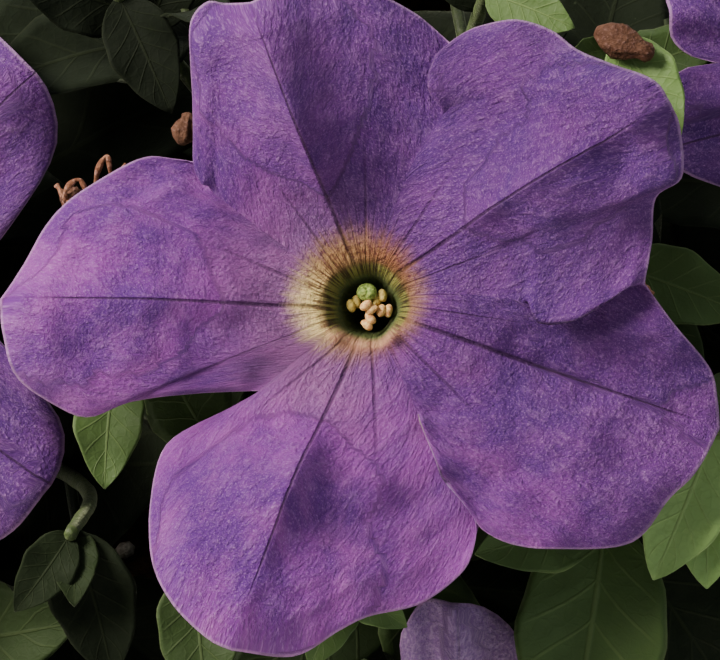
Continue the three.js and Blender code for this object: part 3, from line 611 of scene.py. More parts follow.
def grow_shoot(stems, centre, normal, reach, with_bud, draw):
    """Grows a shoot from the nearest stem to a spot, if its way is free."""
    heel = centre - SHOOTS["heel"] * normal
    froms = [(stem, stem["path"].point(mix(0.45, 0.78, i / 8))) for stem in stems for i in range(9)]
    stem, start = min(froms, key=lambda c: np.linalg.norm(c[1] - heel))
    knee = mix(mix(start, centre, 0.5), centre - SHOOTS["knee"] * normal, 0.6)
    path = Strand([start, knee, centre])
    axis, around = path.points(np.linspace(0.12, 1, 12)), STEM["shoot"] + 0.4
    if not off_pot(axis[2:], around) or not room.clear(axis, around, stem["number"]):
        return False
    room.keep(axis, around, stem["number"])
    tip = axes_of(centre, path.tangent(1))
    balls = tip.at(0, 0, 4.0 * np.arange(4))
    bud = tip if with_bud and room.clear(balls, 3, stem["number"]) and off_pot(balls, 3) else None
    if bud:
        room.keep(balls, 3)
    light = unit(normal + 0.7 * UP)
    if reach:
        grown = [reach_leaf(path.point(share), *wanted, stem["number"]) for share, *wanted in reach]
        leaves = [leaf for leaf in grown if leaf]
    else:
        leaves = grow_leaves(SHOOT_LEAVES, path, light, stem["number"], draw)
    stem["shoots"].append(dict(path=path, leaves=leaves, bud=bud, radius=STEM["shoot"]))
    return True


def grow_stems(blooms, facing):
    """Every bloom's stem with its shoots and leaves."""
    stems = [dict(number=b["number"], bloom=b, path=stem_path(b), shoots=[]) for b in blooms]
    draw = Draws(11)
    spots = []
    for near in NEAR_SHOOTS:
        centre = facing.at(*near["at"])
        leaves = zip(near["leaves"], near["light"])
        reach = [(share, facing.at(*end), facing.z, young) for (share, *end), young in leaves]
        spots.append((centre, unit(centre * vec(1, 1, 0) + vec(0, 0, centre[2] - RIM_Z + 20)), reach))
    ring = mound_spots(SHOOTS["spots"], SHOOTS["lowest"], SHOOTS["highest"], SHOOTS["deep"])
    spots += [(centre, normal, None) for centre, normal in ring]
    tips = []
    for centre, normal, reach in spots:
        near = len(tips) < len(NEAR_SHOOTS)
        apart = far_from(centre, tips, SHOOTS["apart"])
        apart = apart and far_from(centre, [b["axes"].centre for b in blooms], SHOOTS["from_bloom"])
        if (near or apart) and len(tips) < SHOOTS["count"] + len(NEAR_SHOOTS):
            with_bud = not near and len(tips) % 3 == 0
            if grow_shoot(stems, centre, normal, reach, with_bud, draw) or near:
                tips.append(centre)
    for stem in stems:
        light = unit(stem["bloom"]["axes"].z + 0.5 * UP)
        stem["leaves"] = grow_leaves(STEM_LEAVES, stem["path"], light, stem["number"], draw)
    return stems


# ---- Meshes ----
def linked(name, data):
    """A new object in the scene."""
    made = bpy.data.objects.new(name, data)
    bpy.context.scene.collection.objects.link(made)
    return made


class Body:
    """Gathers closed surfaces made of rings, with values for the materials at the corners of their faces."""

    def __init__(self, fields=()):
        self.points, self.faces, self.slots, self.count = [], [], [], 0
        self.fields = {name: [] for name in fields}

    def rings(self, points, slot=0, lobes=1, **fields):
        """Adds rows x columns x 3 points, closed on themselves by columns and by a flat face at each end.

        A field is rows x lobes x (columns of a lobe + 1) x 3, or one value for the whole surface.
        """
        rows, columns = points.shape[:2]
        n = columns // lobes
        r, k, i = np.meshgrid(np.arange(rows - 1), np.arange(lobes), np.arange(n), indexing="ij")
        j, after = k * n + i, (k * n + i + 1) % columns
        row, below = r * columns, (r + 1) * columns
        quads = np.stack([row + j, below + j, below + after, row + after], -1).reshape(-1, 4)
        ends = [np.arange(columns), (rows - 1) * columns + np.arange(columns)[::-1]]
        self.faces += (quads + self.count).tolist() + [(end + self.count).tolist() for end in ends]
        self.slots += [slot] * (len(quads) + 2)
        self.points.append(points.reshape(-1, 3))
        self.count += rows * columns
        for name, kept in self.fields.items():
            value = fields.get(name, (0, 0, 0))
            if np.ndim(value) == 1:
                kept.append(np.broadcast_to(np.array(value, float), (len(quads) * 4 + 2 * columns, 3)))
                continue
            corners = [value[r, k, i], value[r + 1, k, i], value[r + 1, k, i + 1], value[r, k, i + 1]]
            flat = value[:, :, :n].reshape(rows, columns, 3)
            kept.append(np.concatenate([np.stack(corners, 3).reshape(-1, 3), flat[0], flat[-1][::-1]]))

    def mesh(self, name):
        mesh = bpy.data.meshes.new(name)
        mesh.from_pydata((np.concatenate(self.points) * MM).tolist(), [], self.faces)
        return mesh

    def piece(self, name, materials, slot, replaces=()):
        mesh = self.mesh(name)
        mesh.polygons.foreach_set("material_index", self.slots)
        mesh.polygons.foreach_set("use_smooth", [True] * len(self.faces))
        for field, values in self.fields.items():
            made = mesh.attributes.new(field, "FLOAT_VECTOR", "CORNER")
            made.data.foreach_set("vector", np.concatenate(values).astype(np.float32).ravel())
        for material in materials:
            mesh.materials.append(material)
        mesh.update()
        piece = linked(name, mesh)
        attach(piece, "root")
        if replaces:
            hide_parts(*replaces)
        return piece


def lathe(body, axes, profile, sides, slot=0, furrows=None, **fields):
    """A round form about axes' Z by (radius, z), from its lower end up its outside to its upper end."""
    angle = circle(sides)
    rows = []
    for radius, z in profile:
        ring = radius * (furrows(angle, z) if furrows else np.ones(sides))
        rows.append(axes.at(ring * np.cos(angle), ring * np.sin(angle), z + 0 * angle))
    body.rings(np.array(rows)[::-1], slot, **fields)


def tube(body, path, radius, sides, steps, slot=0, begin=0.0, end=1.0, **fields):
    """A round bar along a path. radius is a number, or a function of the share of the way."""
    t = np.linspace(begin, end, steps)
    centres = path.points(t)
    ways = np.gradient(centres, axis=0)
    ways /= np.linalg.norm(ways, axis=1)[:, None]
    side = unit(np.cross(ways[0], vec(0.31, 0.87, 0.12)))
    rows = []
    for i, (centre, way) in enumerate(zip(centres, ways)):
        side = unit(side - way * (side @ way))
        other = np.cross(way, side)
        a = circle(sides)
        r = radius(t[i]) if callable(radius) else radius
        rows.append(centre + r * (np.cos(a)[:, None] * side + np.sin(a)[:, None] * other))
    body.rings(np.array(rows)[::-1], slot, **fields)


def ball(body, centre, axes, radii, slot=0, sides=12, rows=8, **fields):
    """A ball drawn out to three radii along axes."""
    x, y, z = radii
    a = circle(sides)
    made = []
    for i in range(rows + 1):
        climb = mix(math.pi / 2 - 0.06, -math.pi / 2 + 0.06, i / rows)
        wide, high = math.cos(climb), math.sin(climb)
        made.append(centre + axes.way(x * np.cos(a) * wide, y * np.sin(a) * wide, z * high + 0 * a))
    body.rings(np.array(made), slot, **fields)


# ---- Blooms ----
# Swells and dents of the main bloom's limb: right, up, how wide and how high.
SWELLS = [
    (9, 27, 4, 0.9), (30, 18, 4.5, -1.0), (24, 12, 6, 0.6), (-9, 22, 5, 0.7), (-28, 6, 6, 0.8),
    (-33, -4, 4, -0.7), (-14, -22, 7, 0.8), (-3, -26, 5, -0.6), (3, -20, 3.6, 0.5), (26, -16, 6, 0.6),
    (18, -8, 4, -0.5), (34, -22, 5, 0.5),
]
SWELLING = 1.5
PETAL_WAVES = [(1.0, 9.5, 0), (0.5, 4.2, 7), (0.2, 1.9, 3)]
# The small swellings round a throat: the direction in radians and the height.
LIPS = [(-0.85, 1.5), (-2.3, 1.3), (-1.55, 0.7), (2.6, 0.3), (0.5, 0.3)]
OTHER_LIPS = 0.6  # the other blooms' beside the main one's


def relief(points, t, number):
    """The unevenness of a petal, along its own Z."""
    swell = uneven(points + 41 * number, PETAL_WAVES)
    if number == 0:
        for x, y, wide, high in SWELLS:
            away = (points[..., 0] - x) ** 2 + (points[..., 1] - y) ** 2
            swell = swell + SWELLING * high * np.exp(-away / wide**2)
    return swell * smooth(0, 0.35, t)


def limb_grid(bloom, columns, shares):
    """Front points of the whole limb, shares x (5 * columns) x 3."""
    main = bloom["number"] == 0
    s = np.linspace(0, 1, columns + 1)
    lobes = []
    for k, lobe in enumerate(bloom["lobes"]):
        ss, tt = np.meshgrid(s, shares)
        p = limb(bloom, lobe, ss, tt)
        side = np.abs(2 * ss - 1)
        edge = np.maximum(tt - MARGIN["begin"], 0) / (1 - MARGIN["begin"])
        waves = np.sin(FULL * (MARGIN["waves"] * ss + 0.37 * k)) * np.sin(np.pi * ss)
        p[..., 2] += MARGIN["ruffle"] * waves * edge**2 - MARGIN["roll"] * edge**3 * (1 - side**4)
        fold = FOLD["main" if main else "other"] * lobe["fold"] * smooth(0.05, 0.5, tt)
        p[..., 2] += fold * (1 - side) ** 1.5 * (1 - 0.5 * edge)
        if main:
            p[..., 2] += FOLD["crease"] * lobe["fold"] * smooth(0.1, 0.4, tt) * (np.exp(-side / 0.25) - 0.02)
        p[..., 2] -= FOLD["groove"] * np.exp(-((side / 0.035) ** 2)) * smooth(0, 0.1, tt) * (1 - tt)
        lobes.append(p)
    grid = np.concatenate([p[:, :columns] for p in lobes], 1)
    grid[..., 2] += relief(grid, np.asarray(shares)[:, None], bloom["number"])
    return grid, s


def lap(grid, columns, rule):
    """How the grid moves where two lobes lap: its turn about the throat, its rise, and where the edge is."""
    whole = grid.shape[1]
    joint = rule["joint"] * columns
    radius = np.hypot(grid[:, joint, 0], grid[:, joint, 1])
    line = np.interp(radius, *np.array(rule["line"]).T)
    over = np.interp(radius, *np.array(rule["edge"]).T)
    base = np.degrees(np.arctan2(grid[:, joint, 1], grid[:, joint, 0]))
    base = line + (base - line + 180) % 360 - 180
    inner, outer = rule["edge"][0][0], rule["edge"][-1][0]
    open_part = smooth(inner - 0.3, inner + 1.2, radius)
    close = open_part * (1 - smooth(outer - 2.5, outer + 0.3, radius))
    # Columns from the joint, positive in the lobe after it.
    away = (np.arange(whole) - joint + whole // 2) % whole - whole // 2
    u = np.abs(away) / columns
    upper = np.sign(away) == rule["over"]

    def fade(width):
        return np.clip(1 - u / width, 0, 1)[None]

    # The whole joint moves to its line, the upper lobe on over its edge, and the lower one on under it.
    shift = (line - base)[:, None] * fade(0.35) ** 2
    flap = (over - line)[:, None] * fade(0.3) ** 1.5 * (away != 0)
    tucked = rule["over"] * np.degrees(LAP["tuck"] / radius) * close
    under = tucked[:, None] * fade(0.2) ** 2 * (away != 0)
    turn = shift + np.where(upper[None], flap * open_part[:, None], under)
    roll = np.exp(-((u / 0.05) ** 2))[None] + 0.55 * fade(0.4)
    rise = np.where(upper[None], rule["lift"] * roll, -LAP["sink"] * fade(0.3))
    rise = rise * (open_part * (1 - 0.7 * smooth(outer - 2, outer, radius)))[:, None] * (away != 0)
    edge = np.where(upper[None] & (u[None] < 1.5 / columns), open_part[:, None], 0)
    return np.radians(turn), rise, edge


def turned(points, turn):
    """Points turned about the throat."""
    x, y, z = np.moveaxis(points, -1, 0)
    return np.stack([x * np.cos(turn) - y * np.sin(turn), x * np.sin(turn) + y * np.cos(turn), z], -1)


def lips(angle, radius):
    """How high the small swellings stand round a throat."""
    shape = 0
    for place, height in LIPS:
        away = np.angle(np.exp(1j * (angle - place)))
        shape = shape + height * np.exp(-((away / 0.22) ** 2))
    return shape * np.exp(-(((radius - 4.9) / 0.9) ** 2))


def bloom_piece(bloom, material):
    """A bloom's five lobes with the throat and the tube, as one closed skin."""
    number = bloom["number"]
    main = number == 0
    columns, rows = PETAL_FACES["main" if main else "near" if number <= len(NEAR_BLOOMS) else "far"]
    shares = (np.arange(rows + 1) / rows) ** 0.9
    grid, s = limb_grid(bloom, columns, shares)
    angles = np.concatenate([throat_angle(lobe["throat"], s[:-1]) for lobe in bloom["lobes"]])

    def ring(radius, z):
        wobble = 1 + 0.03 * np.sin(5 * angles + 1.3)
        lift = (1 if main else OTHER_LIPS) * lips(angles, radius)
        return level(radius * wobble, angles, z + lift)

    blend = smooth(0, 0.12, shares)[:, None]
    collar = np.stack([ring(np.hypot(*row[:, :2].T), 0)[:, 2] for row in grid])
    grid[..., 2] += collar * (1 - blend * 0.5)
    normals = np.cross(np.gradient(grid, axis=0), np.roll(grid, -1, 1) - np.roll(grid, 1, 1))
    normals /= np.linalg.norm(normals, axis=2, keepdims=True) + 1e-9
    back = grid - PETAL_THICK * normals
    rim = grid[-1:] + 0.12 * (grid[-1:] - grid[-2:-1]) - 0.2 * normals[-1:]
    edges = np.zeros(grid.shape[:2])
    for rule in LAPS if main else ():
        turn, rise, edge = lap(grid, columns, rule)
        grid, back, rim = turned(grid, turn), turned(back, turn), turned(rim, turn[-1:])
        grid[..., 2] += rise
        back[..., 2] += rise
        rim[..., 2] += rise[-1:]
        edges = np.maximum(edges, edge)
    # The back has every second row.
    back, back_shares, back_edges = (values[1::2][::-1] for values in (back, shares, edges))
    well = np.stack([ring(r, z) for r, z in reversed(THROAT)])
    outer = np.stack([level(r, angles, z) for r, z in TUBE])
    skin = np.concatenate([well, grid, rim, back, outer])
    down, up = -np.linspace(1.0, 0.06, len(well)), -np.linspace(0.1, 1, len(outer))
    along = np.concatenate([down, shares, [1.0], back_shares, up])
    side = np.concatenate([np.zeros(len(well) + len(grid)), [0.5], np.ones(len(back) + len(outer))])
    edges = np.concatenate([0 * well[..., 0], edges, edges[-1:], back_edges, 0 * outer[..., 0]])

    # The materials' values, lobe by lobe. A lobe's last column is the next one's first.
    part = (np.arange(5)[:, None] * columns + np.arange(columns + 1)) % (5 * columns)
    own = skin[:, part]
    away = np.linalg.norm((own - own[:, :, columns // 2, None])[..., :2], axis=3) * np.sign(s - 0.5)
    deep = np.abs(own[..., 2])
    out = np.hypot(own[..., 0], own[..., 1]) + np.where(deep > 4, deep, 0)
    flat = 0 * out
    seeds = 20 * np.arange(5)[:, None] + 3.7 * number
    petal = np.stack([away, out, flat + seeds], -1)
    place = np.stack([flat + s, flat + along[:, None, None], flat + side[:, None, None]], -1)
    # The spot's third value is a lap's edge, less the painted light of a bloom that the main one shades.
    spot = np.stack([own[..., 0], own[..., 1], edges[:, part] - bloom["painted_light"]], -1)
    body = Body(("petal", "place", "spot"))
    body.rings(bloom["axes"].at(*np.moveaxis(skin, -1, 0)), 0, 5, petal=petal, place=place, spot=spot)
    return body.piece(numbered("petals", bloom), [material], "petals", [numbered("bloom", bloom)])


# The main bloom's anthers and the heights of the others', and where the filaments start and bend.
MAIN_ANTHERS = [
    (-1.75, 0.5, -4.1), (0.15, -1.75, -3.4), (2.0, -0.35, -3.9), (1.35, 1.3, -4.2), (0.15, -0.05, -2.8),
]
ANTHER_HEIGHTS = [-4.2, -3.9, -4.4, -4.0, -4.6]
STAMEN_FOOT, STAMEN_BEND = -19.6, -11
FILAMENT, POLLEN, STIGMA = 0, 1, 2  # their places in the list of materials


def stamens_piece(bloom, materials):
    """Five filaments with their anthers round a style with its stigma."""
    body = Body(("grain",))
    axes = bloom["axes"]
    main = bloom["number"] == 0
    turn = 2 * bloom["number"]
    sides, rows = ANTHER_FACES["main" if main else "other"]
    even = [(*polar(1.8, turn + FULL * i / 5), z) for i, z in enumerate(ANTHER_HEIGHTS)]
    anthers = MAIN_ANTHERS if main else even
    for i, (x, y, z) in enumerate(anthers):
        foot = axes.at(0.5 * math.cos(i), 0.5 * math.sin(i), STAMEN_FOOT)
        path = Strand([foot, axes.at(0.6 * x, 0.6 * y, STAMEN_BEND), axes.at(x, y, z - 0.6)])
        tube(body, path, 0.24, 6, 10, FILAMENT)
        own = axes_of(axes.centre, axes.z + 0.5 * axes.way(math.cos(3 * i), math.sin(3 * i), 0), 1.3 * i)
        green = 1.0 if i in (0, 3) else 0.0
        for half in (-1, 1):
            grain = (green, 0, 0)
            centre = axes.at(x, y, z) + own.way(0.42 * half, 0.12 * half, 0)
            ball(body, centre, own, (0.55, 0.82, 0.62), POLLEN, sides, rows, grain=grain)
            knob = centre + own.way(0.1 * half, 0.45, 0.25)
            ball(body, knob, own, (0.36, 0.36, 0.32), POLLEN, sides - 3, rows - 3, grain=grain)
    style = [axes.at(0, 0, STAMEN_FOOT), axes.at(-0.2, 0.6, STAMEN_BEND), axes.at(-0.15, 1.7, -4.0)]
    tube(body, Strand(style), 0.4, 8, 10, STIGMA)
    ball(body, axes.at(-0.15, 1.85, -3.5), axes, (1.25, 1.1, 0.6), STIGMA, sides, rows)
    ball(body, axes.at(-0.55, 1.9, -3.15), axes, (0.62, 0.7, 0.42), STIGMA, sides, 6)
    ball(body, axes.at(0.35, 1.85, -3.15), axes, (0.6, 0.66, 0.42), STIGMA, sides, 6)
    lathe(body, axes, [(0.1, -20.2), (0.9, -20), (0.9, -19.4), (0.1, -19.2)], 10, FILAMENT)
    return body.piece(numbered("anthers", bloom), materials, "stamens", [numbered("stamens", bloom)])


# ---- Foliage ----
BLADE, STALK, BUD_SKIN = 0, 1, 2  # their places in the list of materials


def wrapped(front, back):
    """Rows that run along a front and return along a back."""
    return np.concatenate([front, back[:, 1:-1][:, ::-1]], 1)


def blade(body, leaf, faces, tone):
    """One leaf as a closed blade: its front from one margin to the other, and back round by its underside."""
    rows, half_columns = LEAF_FACES[faces]
    u = np.linspace(0.004, 0.997, rows) ** 0.92
    v, u = np.meshgrid(np.linspace(-1, 1, 2 * half_columns + 1), u)
    half = leaf_half(leaf, u)
    length = leaf["length"]
    seed = leaf["axes"].centre.sum()
    side = np.abs(v)
    belly = np.sin(np.pi * u)
    ruffle = side**2 * np.sin(FULL * (2.1 * u + 0.13 * seed) + 2 * np.sign(v)) * belly
    veins = np.cos(FULL * LEAF["veins"] * (u - LEAF["slant"] * side) + 0.6)
    quilt = veins * side * (1 - side) * 4 * belly
    lift = LEAF["trough"] * np.sqrt(v**2 + 0.004) * half - leaf["bend"] * length * u**2
    lift += length * (LEAF_WAVES["ruffle"] * ruffle - LEAF_WAVES["quilt"] * quilt)
    notch = 1 + LEAF_WAVES["notch"] * np.sin(FULL * 3.3 * u + seed) * belly
    across = v * half * notch + LEAF_WAVES["sway"] * length * belly * math.sin(seed)
    ridge = LEAF_THICK * (1 + 1.3 * np.exp(-((v / 0.09) ** 2)) * (1 - 0.7 * u))
    front = leaf["axes"].at(across, u * length, lift)
    back = leaf["axes"].at(across, u * length, lift - ridge)

    def field(x, y, z, z_under):
        """Values round the blade, with the first column again at the end."""
        values = wrapped(np.stack([x, y, 0 * x + z], -1), np.stack([x, y, 0 * x + z_under], -1))[::-1, ::-1]
        return np.concatenate([values, values[:, :1]], 1)[:, None]

    grain = field(v * half, u * length, seed, seed)
    body.rings(wrapped(front, back)[::-1, ::-1], BLADE, blade=field(v, u, 0, 1), grain=grain, tone=tone)


# A closed bud's outline: (radius, z).
BUD = [
    (0.2, -2), (1.2, -1.2), (1.7, 0.5), (2.2, 3), (2.75, 5), (2.7, 7.5), (2.3, 10), (1.4, 12.5),
    (0.7, 13.6), (0.1, 14),
]
# Where the foliage round the main bloom is painted nearly black, as painted shade: right, up and out, and how
# far round.
PAINTED_SHADE_LEAVES = [((-34, 32, -26), 24), ((-34, -34, -26), 20), ((36, 4, -26), 14)]


def depth_of(point):
    """How deep in the mound a point is, from 0 at its skin to 1."""
    outward = math.hypot(point[0], point[1]) / (MOUND["radius"] + 8)
    upward = max(point[2] - RIM_Z - MOUND["lift"], 0) / (MOUND["height"] + 8)
    return float(np.clip(1.15 - (outward**2.4 + upward**2.4) ** (1 / 2.4), 0, 0.4) / 0.4)


def leaf_tone(leaf, draw, young=0.0):
    """A leaf's values for its colour: chance, painted shade by depth, and youth."""
    middle = leaf["axes"].at(0, 0.5 * leaf["length"], 0)
    chance = draw()
    # A near shoot's leaf is painted darker the less young it is, as painted shade.
    if "young" in leaf:
        return (chance, 0.95 * (1 - leaf["young"]), leaf["young"])
    if any(np.linalg.norm(middle - facing.at(*place)) < reach for place, reach in PAINTED_SHADE_LEAVES):
        return (chance, 1, 0)
    return (chance, depth_of(middle), young)


def sepals(body, axes, foot, reach, width, flare, draw):
    """Five narrow sepals round a tube, from their foot's (radius, z) outwards and up."""
    for i in range(5):
        angle = FULL * i / 5 + 0.2
        around = vec(*polar(1, angle))
        spread = unit(axes.way(*(around * flare), 1))
        outward = unit(axes.way(*around, -flare))
        own = Axes(axes.at(*(around * foot[0]), foot[1]), np.cross(spread, outward), spread, outward)
        leaf = dict(axes=own, length=reach, bend=-0.1)
        narrow_blade(body, leaf, width, (draw(), 0.2, 0.4))


def narrow_blade(body, leaf, width, tone):
    v, u = np.meshgrid(np.linspace(-1, 1, 7), np.linspace(0, 1, 9))
    across = v * width * (0.55 + 0.75 * np.sin(np.pi * u**1.5)) * (1 - u**6 * 0.85)
    lift = 0.12 * across**2 / width - leaf["bend"] * leaf["length"] * u**2
    front = leaf["axes"].at(across, u * leaf["length"], lift)
    back = leaf["axes"].at(across, u * leaf["length"], lift - 0.4)
    body.rings(wrapped(front, back), BLADE, tone=tone, blade=(0.5, 0.5, 0))


def calyx(body, axes, draw):
    top = -BLOOM["tube"] - SEAT_GAP
    cup = [(0.3, top - 5), (1.7, top - 4.6), (2.5, top - 3), (2.9, top - 1), (2.7, top - 0.2), (0.3, top)]
    lathe(body, axes, cup, 20, STALK, tone=(0.5, 0.2, 0.3))
    sepals(body, axes, (2.3, top - 1.5), 14.5, 1.5, 0.3, draw)


def bud(body, axes, draw):
    def furrows(angle, z):
        return 1 + 0.12 * np.cos(5 * angle + 0.35 * z) * smooth(3, 9, np.array(z))

    lathe(body, axes, BUD, 30, BUD_SKIN, furrows, tone=(draw(), 0, 0))
    sepals(body, axes, (1.5, -1), 8, 1.1, 0.22, draw)


def stalk(body, path, radius, steps, tip=0.75, begin=0.0, sides=10):
    def knobbly(t):
        return radius * mix(1, tip, t) * (1 + 0.05 * math.sin(40 * t))

    tube(body, path, knobbly, sides, steps, STALK, begin, tone=(0.5, depth_of(path.point(0.95)), 0.5))


def foliage_piece(stem, materials):
    """A stem with its calyx, shoots, buds and leaves."""
    body = Body(("blade", "grain", "tone"))
    draw = Draws(900 + stem["number"])
    stalk(body, stem["path"], STEM["radius"] * 1.1, steps=60, tip=0.85, begin=0.01)
    calyx(body, stem["bloom"]["axes"], draw)
    for shoot in stem["shoots"]:
        stalk(body, shoot["path"], shoot["radius"], steps=24)
        for i, leaf in enumerate(shoot["leaves"]):
            blade(body, leaf, "near" if "young" in leaf else "far", leaf_tone(leaf, draw, 1 - i / 5))
        if shoot["bud"]:
            bud(body, shoot["bud"], draw)
    for leaf in stem["leaves"]:
        blade(body, leaf, "far", leaf_tone(leaf, draw, 0.1))
    return body.piece(numbered("foliage", stem), materials, "foliage", [numbered("stem", stem)])


# Layers of filling shoots: how many, their lowest and highest climb, how deep they lie and how long their
# leaves are. A leaf is the share of the way up, the share of that length and the pitch.
FILL = [(150, -40, 89, 13, 26), (110, -36, 89, 27, 34), (90, -24, 89, 42, 42), (34, 45, 90, 22, 30)]
FILL_LEAVES = [(0.97, 0.55, 0.7), (0.9, 0.75, 0.5), (0.78, 1.0, 0.35), (0.62, 1.15, 0.25)]
FILLING = dict(bodies=6, radius=0.8, shift=5, heel=24, knee=12, leaf_gap=0.2, leaf_share=0.62)


def undergrowth(stems, materials):
    """The smaller shoots between the blooms, which close the mound."""
    draw = Draws(77)
    bodies = [Body(("blade", "grain", "tone")) for _ in range(FILLING["bodies"])]
    for shell, (count, lowest, highest, deep, length) in enumerate(FILL):
        for centre, normal in mound_spots(count, lowest, highest, deep, 31 * shell):
            centre = centre + FILLING["shift"] * (np.array([draw(), draw(), draw()]) - 0.5)
            heel = centre - FILLING["heel"] * normal
            froms = [(stem, stem["path"].point(mix(0.4, 0.92, j / 9))) for stem in stems for j in range(10)]
            shoots = [(stem, shoot["path"]) for stem in stems for shoot in stem["shoots"]]
            froms += [(stem, shoot.point(share)) for stem, shoot in shoots for share in (0.3, 0.6)]
            inward = min(0.6, 70 / max(np.hypot(*centre[:2]), 1))
            froms.append((stems[0], vec(*(centre[:2] * inward), RIM_Z - SOIL["below"] - 3)))
            stem, start = min(froms, key=lambda c: np.linalg.norm(c[1] - heel))
            knee = mix(mix(start, centre, 0.5), centre - FILLING["knee"] * normal, 0.5)
            path = Strand([start, knee, centre])
            axis = path.points(np.linspace(0.2, 1, 8))
            if not off_pot(axis[2:], 1.2) or not room.clear(axis, 1.0, stem["number"], 0.3):
                continue
            light = unit(normal + 0.8 * UP)
            places = [(u, length * size * draw.within(0.85, 1.15), pitch) for u, size, pitch in FILL_LEAVES]
            free, share = FILLING["leaf_gap"], FILLING["leaf_share"]
            leaves = grow_leaves(places, path, light, stem["number"], draw, free, share)
            if not leaves:
                continue
            room.keep(axis, 1.0, stem["number"])
            sector = int((math.atan2(centre[1], centre[0]) / FULL + 0.5) * len(bodies))
            body = bodies[sector % len(bodies)]
            stalk(body, path, FILLING["radius"], steps=12, tip=0.7, sides=7)
            for leaf in leaves:
                blade(body, leaf, "under", leaf_tone(leaf, draw, 0.2 if shell == 0 else 0))
    for i, body in enumerate(bodies):
        if body.count:
            body.piece(f"undergrowth_{i + 1}", materials, "foliage")


# Withered flowers: their dry threads and shrunken cups near the main bloom, as (right, up, out) points.
THREADS = [
    [(-36.5, 12, -9), (-36.2, 14, -6), (-34.6, 15.2, -5), (-33.4, 13.6, -5.5), (-31.6, 14.4, -6.5)],
    [(-33, 12, -8), (-32.4, 16.2, -6), (-31.2, 18, -5.5), (-30.6, 15.4, -6), (-29, 17.2, -6)],
    [(-30.8, 14, -8), (-29.4, 16, -6), (-28, 17.4, -6.5)],
    [(-37.5, 14.6, -9), (-35.6, 12.2, -7), (-33.2, 11.6, -7)],
    [(33, 3.4, -8), (33.8, 2.6, -6.5), (35, 1.4, -7)],
]
# A cup's place, the way it points, its width and its length. Its outline is in shares of both.
CUPS = [
    ((-22.4, 19.6, -9), (0.3, 1.0, 0.4), 1.5, 4.2),
    ((28, 33.4, -8.5), (0.9, -0.4, 0.3), 2.1, 8),
    ((-36.8, 12.6, -9), (0.6, 0.4, 0.6), 1.2, 3.2),
]
CUP = [
    (0.05, 0), (0.35, 0.02), (0.8, 0.18), (1.0, 0.4), (0.8, 0.62), (0.5, 0.78), (0.55, 0.9), (0.3, 0.98),
    (0.05, 1),
]


def withered_piece(facing, material):
    """The dry threads and cups, as one piece."""
    body = Body(("grain",))
    for i, thread in enumerate(THREADS):
        path = Strand([facing.at(*p) for p in thread])

        def knotted(t, i=i):
            return 0.34 * (1.15 - 0.6 * t) * (1 + 0.3 * math.sin(23 * t + i))

        tube(body, path, knotted, 7, 40)
    for place, way, wide, long in CUPS:
        axes = axes_of(facing.at(*place), facing.way(*way))

        def furrows(angle, z, long=long):
            return 1 + 0.16 * np.cos(7 * angle + z) * smooth(0, 0.5 * long, np.array(z) + 0 * angle)

        lathe(body, axes, [(wide * r, long * z) for r, z in CUP], 28, 0, furrows, grain=(1, 0, 0))
    return body.piece("withered", [material], "foliage")


# ---- Pot, soil and hanger ----
WORLD = Axes(vec(0, 0, 0), vec(1, 0, 0), vec(0, 1, 0), UP)


def wire_angle(i):
    return math.radians(WIRE["first"]) + FULL * i / WIRE["count"]


def wire_ends(i):
    """Where wire i passes the hub's hole and its ear's."""
    top = vec(*polar(WIRE["top_ring"], wire_angle(i)), HOOK["hub_top"])
    return top, vec(*polar(LUG["ring"], wire_angle(i)), RIM_Z - LUG["below"] - LUG["thick"] / 2)


def cutter(begin, end, radius, past):
    """A round bar to cut with, which reaches past both its ends."""
    way = unit(end - begin)
    body = Body()
    tube(body, Strand([begin - past * way, end + past * way]), radius, 24, 2)
    return linked("cutter", body.mesh("cutter"))


def cut(piece, cutters):
    """Cuts round holes into a piece, for good."""
    for tool in cutters:
        modifier = piece.modifiers.new("hole", "BOOLEAN")
        modifier.object, modifier.operation, modifier.solver = tool, "DIFFERENCE", "EXACT"
    bpy.context.view_layer.update()
    made = bpy.data.meshes.new_from_object(piece.evaluated_get(bpy.context.evaluated_depsgraph_get()))
    piece.modifiers.clear()
    piece.data = made
    for tool in cutters:
        bpy.data.objects.remove(tool)
    made.set_sharp_from_angle(angle=math.radians(35))


def rounded(profile, bevel=0.7, steps=3):
    """A profile with its inner corners rounded."""
    out = [profile[0]]
    for a, b, c in zip(profile, profile[1:], profile[2:]):
        a, b, c = vec(*a), vec(*b), vec(*c)
        p = b + unit(a - b) * min(bevel, np.linalg.norm(a - b) / 2.2)
        q = b + unit(c - b) * min(bevel, np.linalg.norm(c - b) / 2.2)
        for i in range(steps + 1):
            t = i / steps
            out.append(tuple(mix(mix(p, b, t), mix(b, q, t), t)))
    out.append(profile[-1])
    return out


# The pot's moulded details: the groove in its foot as (radius, depth), and the ribs' shares of its height and
# their outline as (out, above).
POT_GROOVE = [(62, 0), (64, 1.2), (68, 1.2), (70, 0)]
POT_RIBS = (0.62, 0.66)
POT_RIB = [(0, -1.2), (0.6, -0.7), (0.6, 0.7), (0, 1.2)]


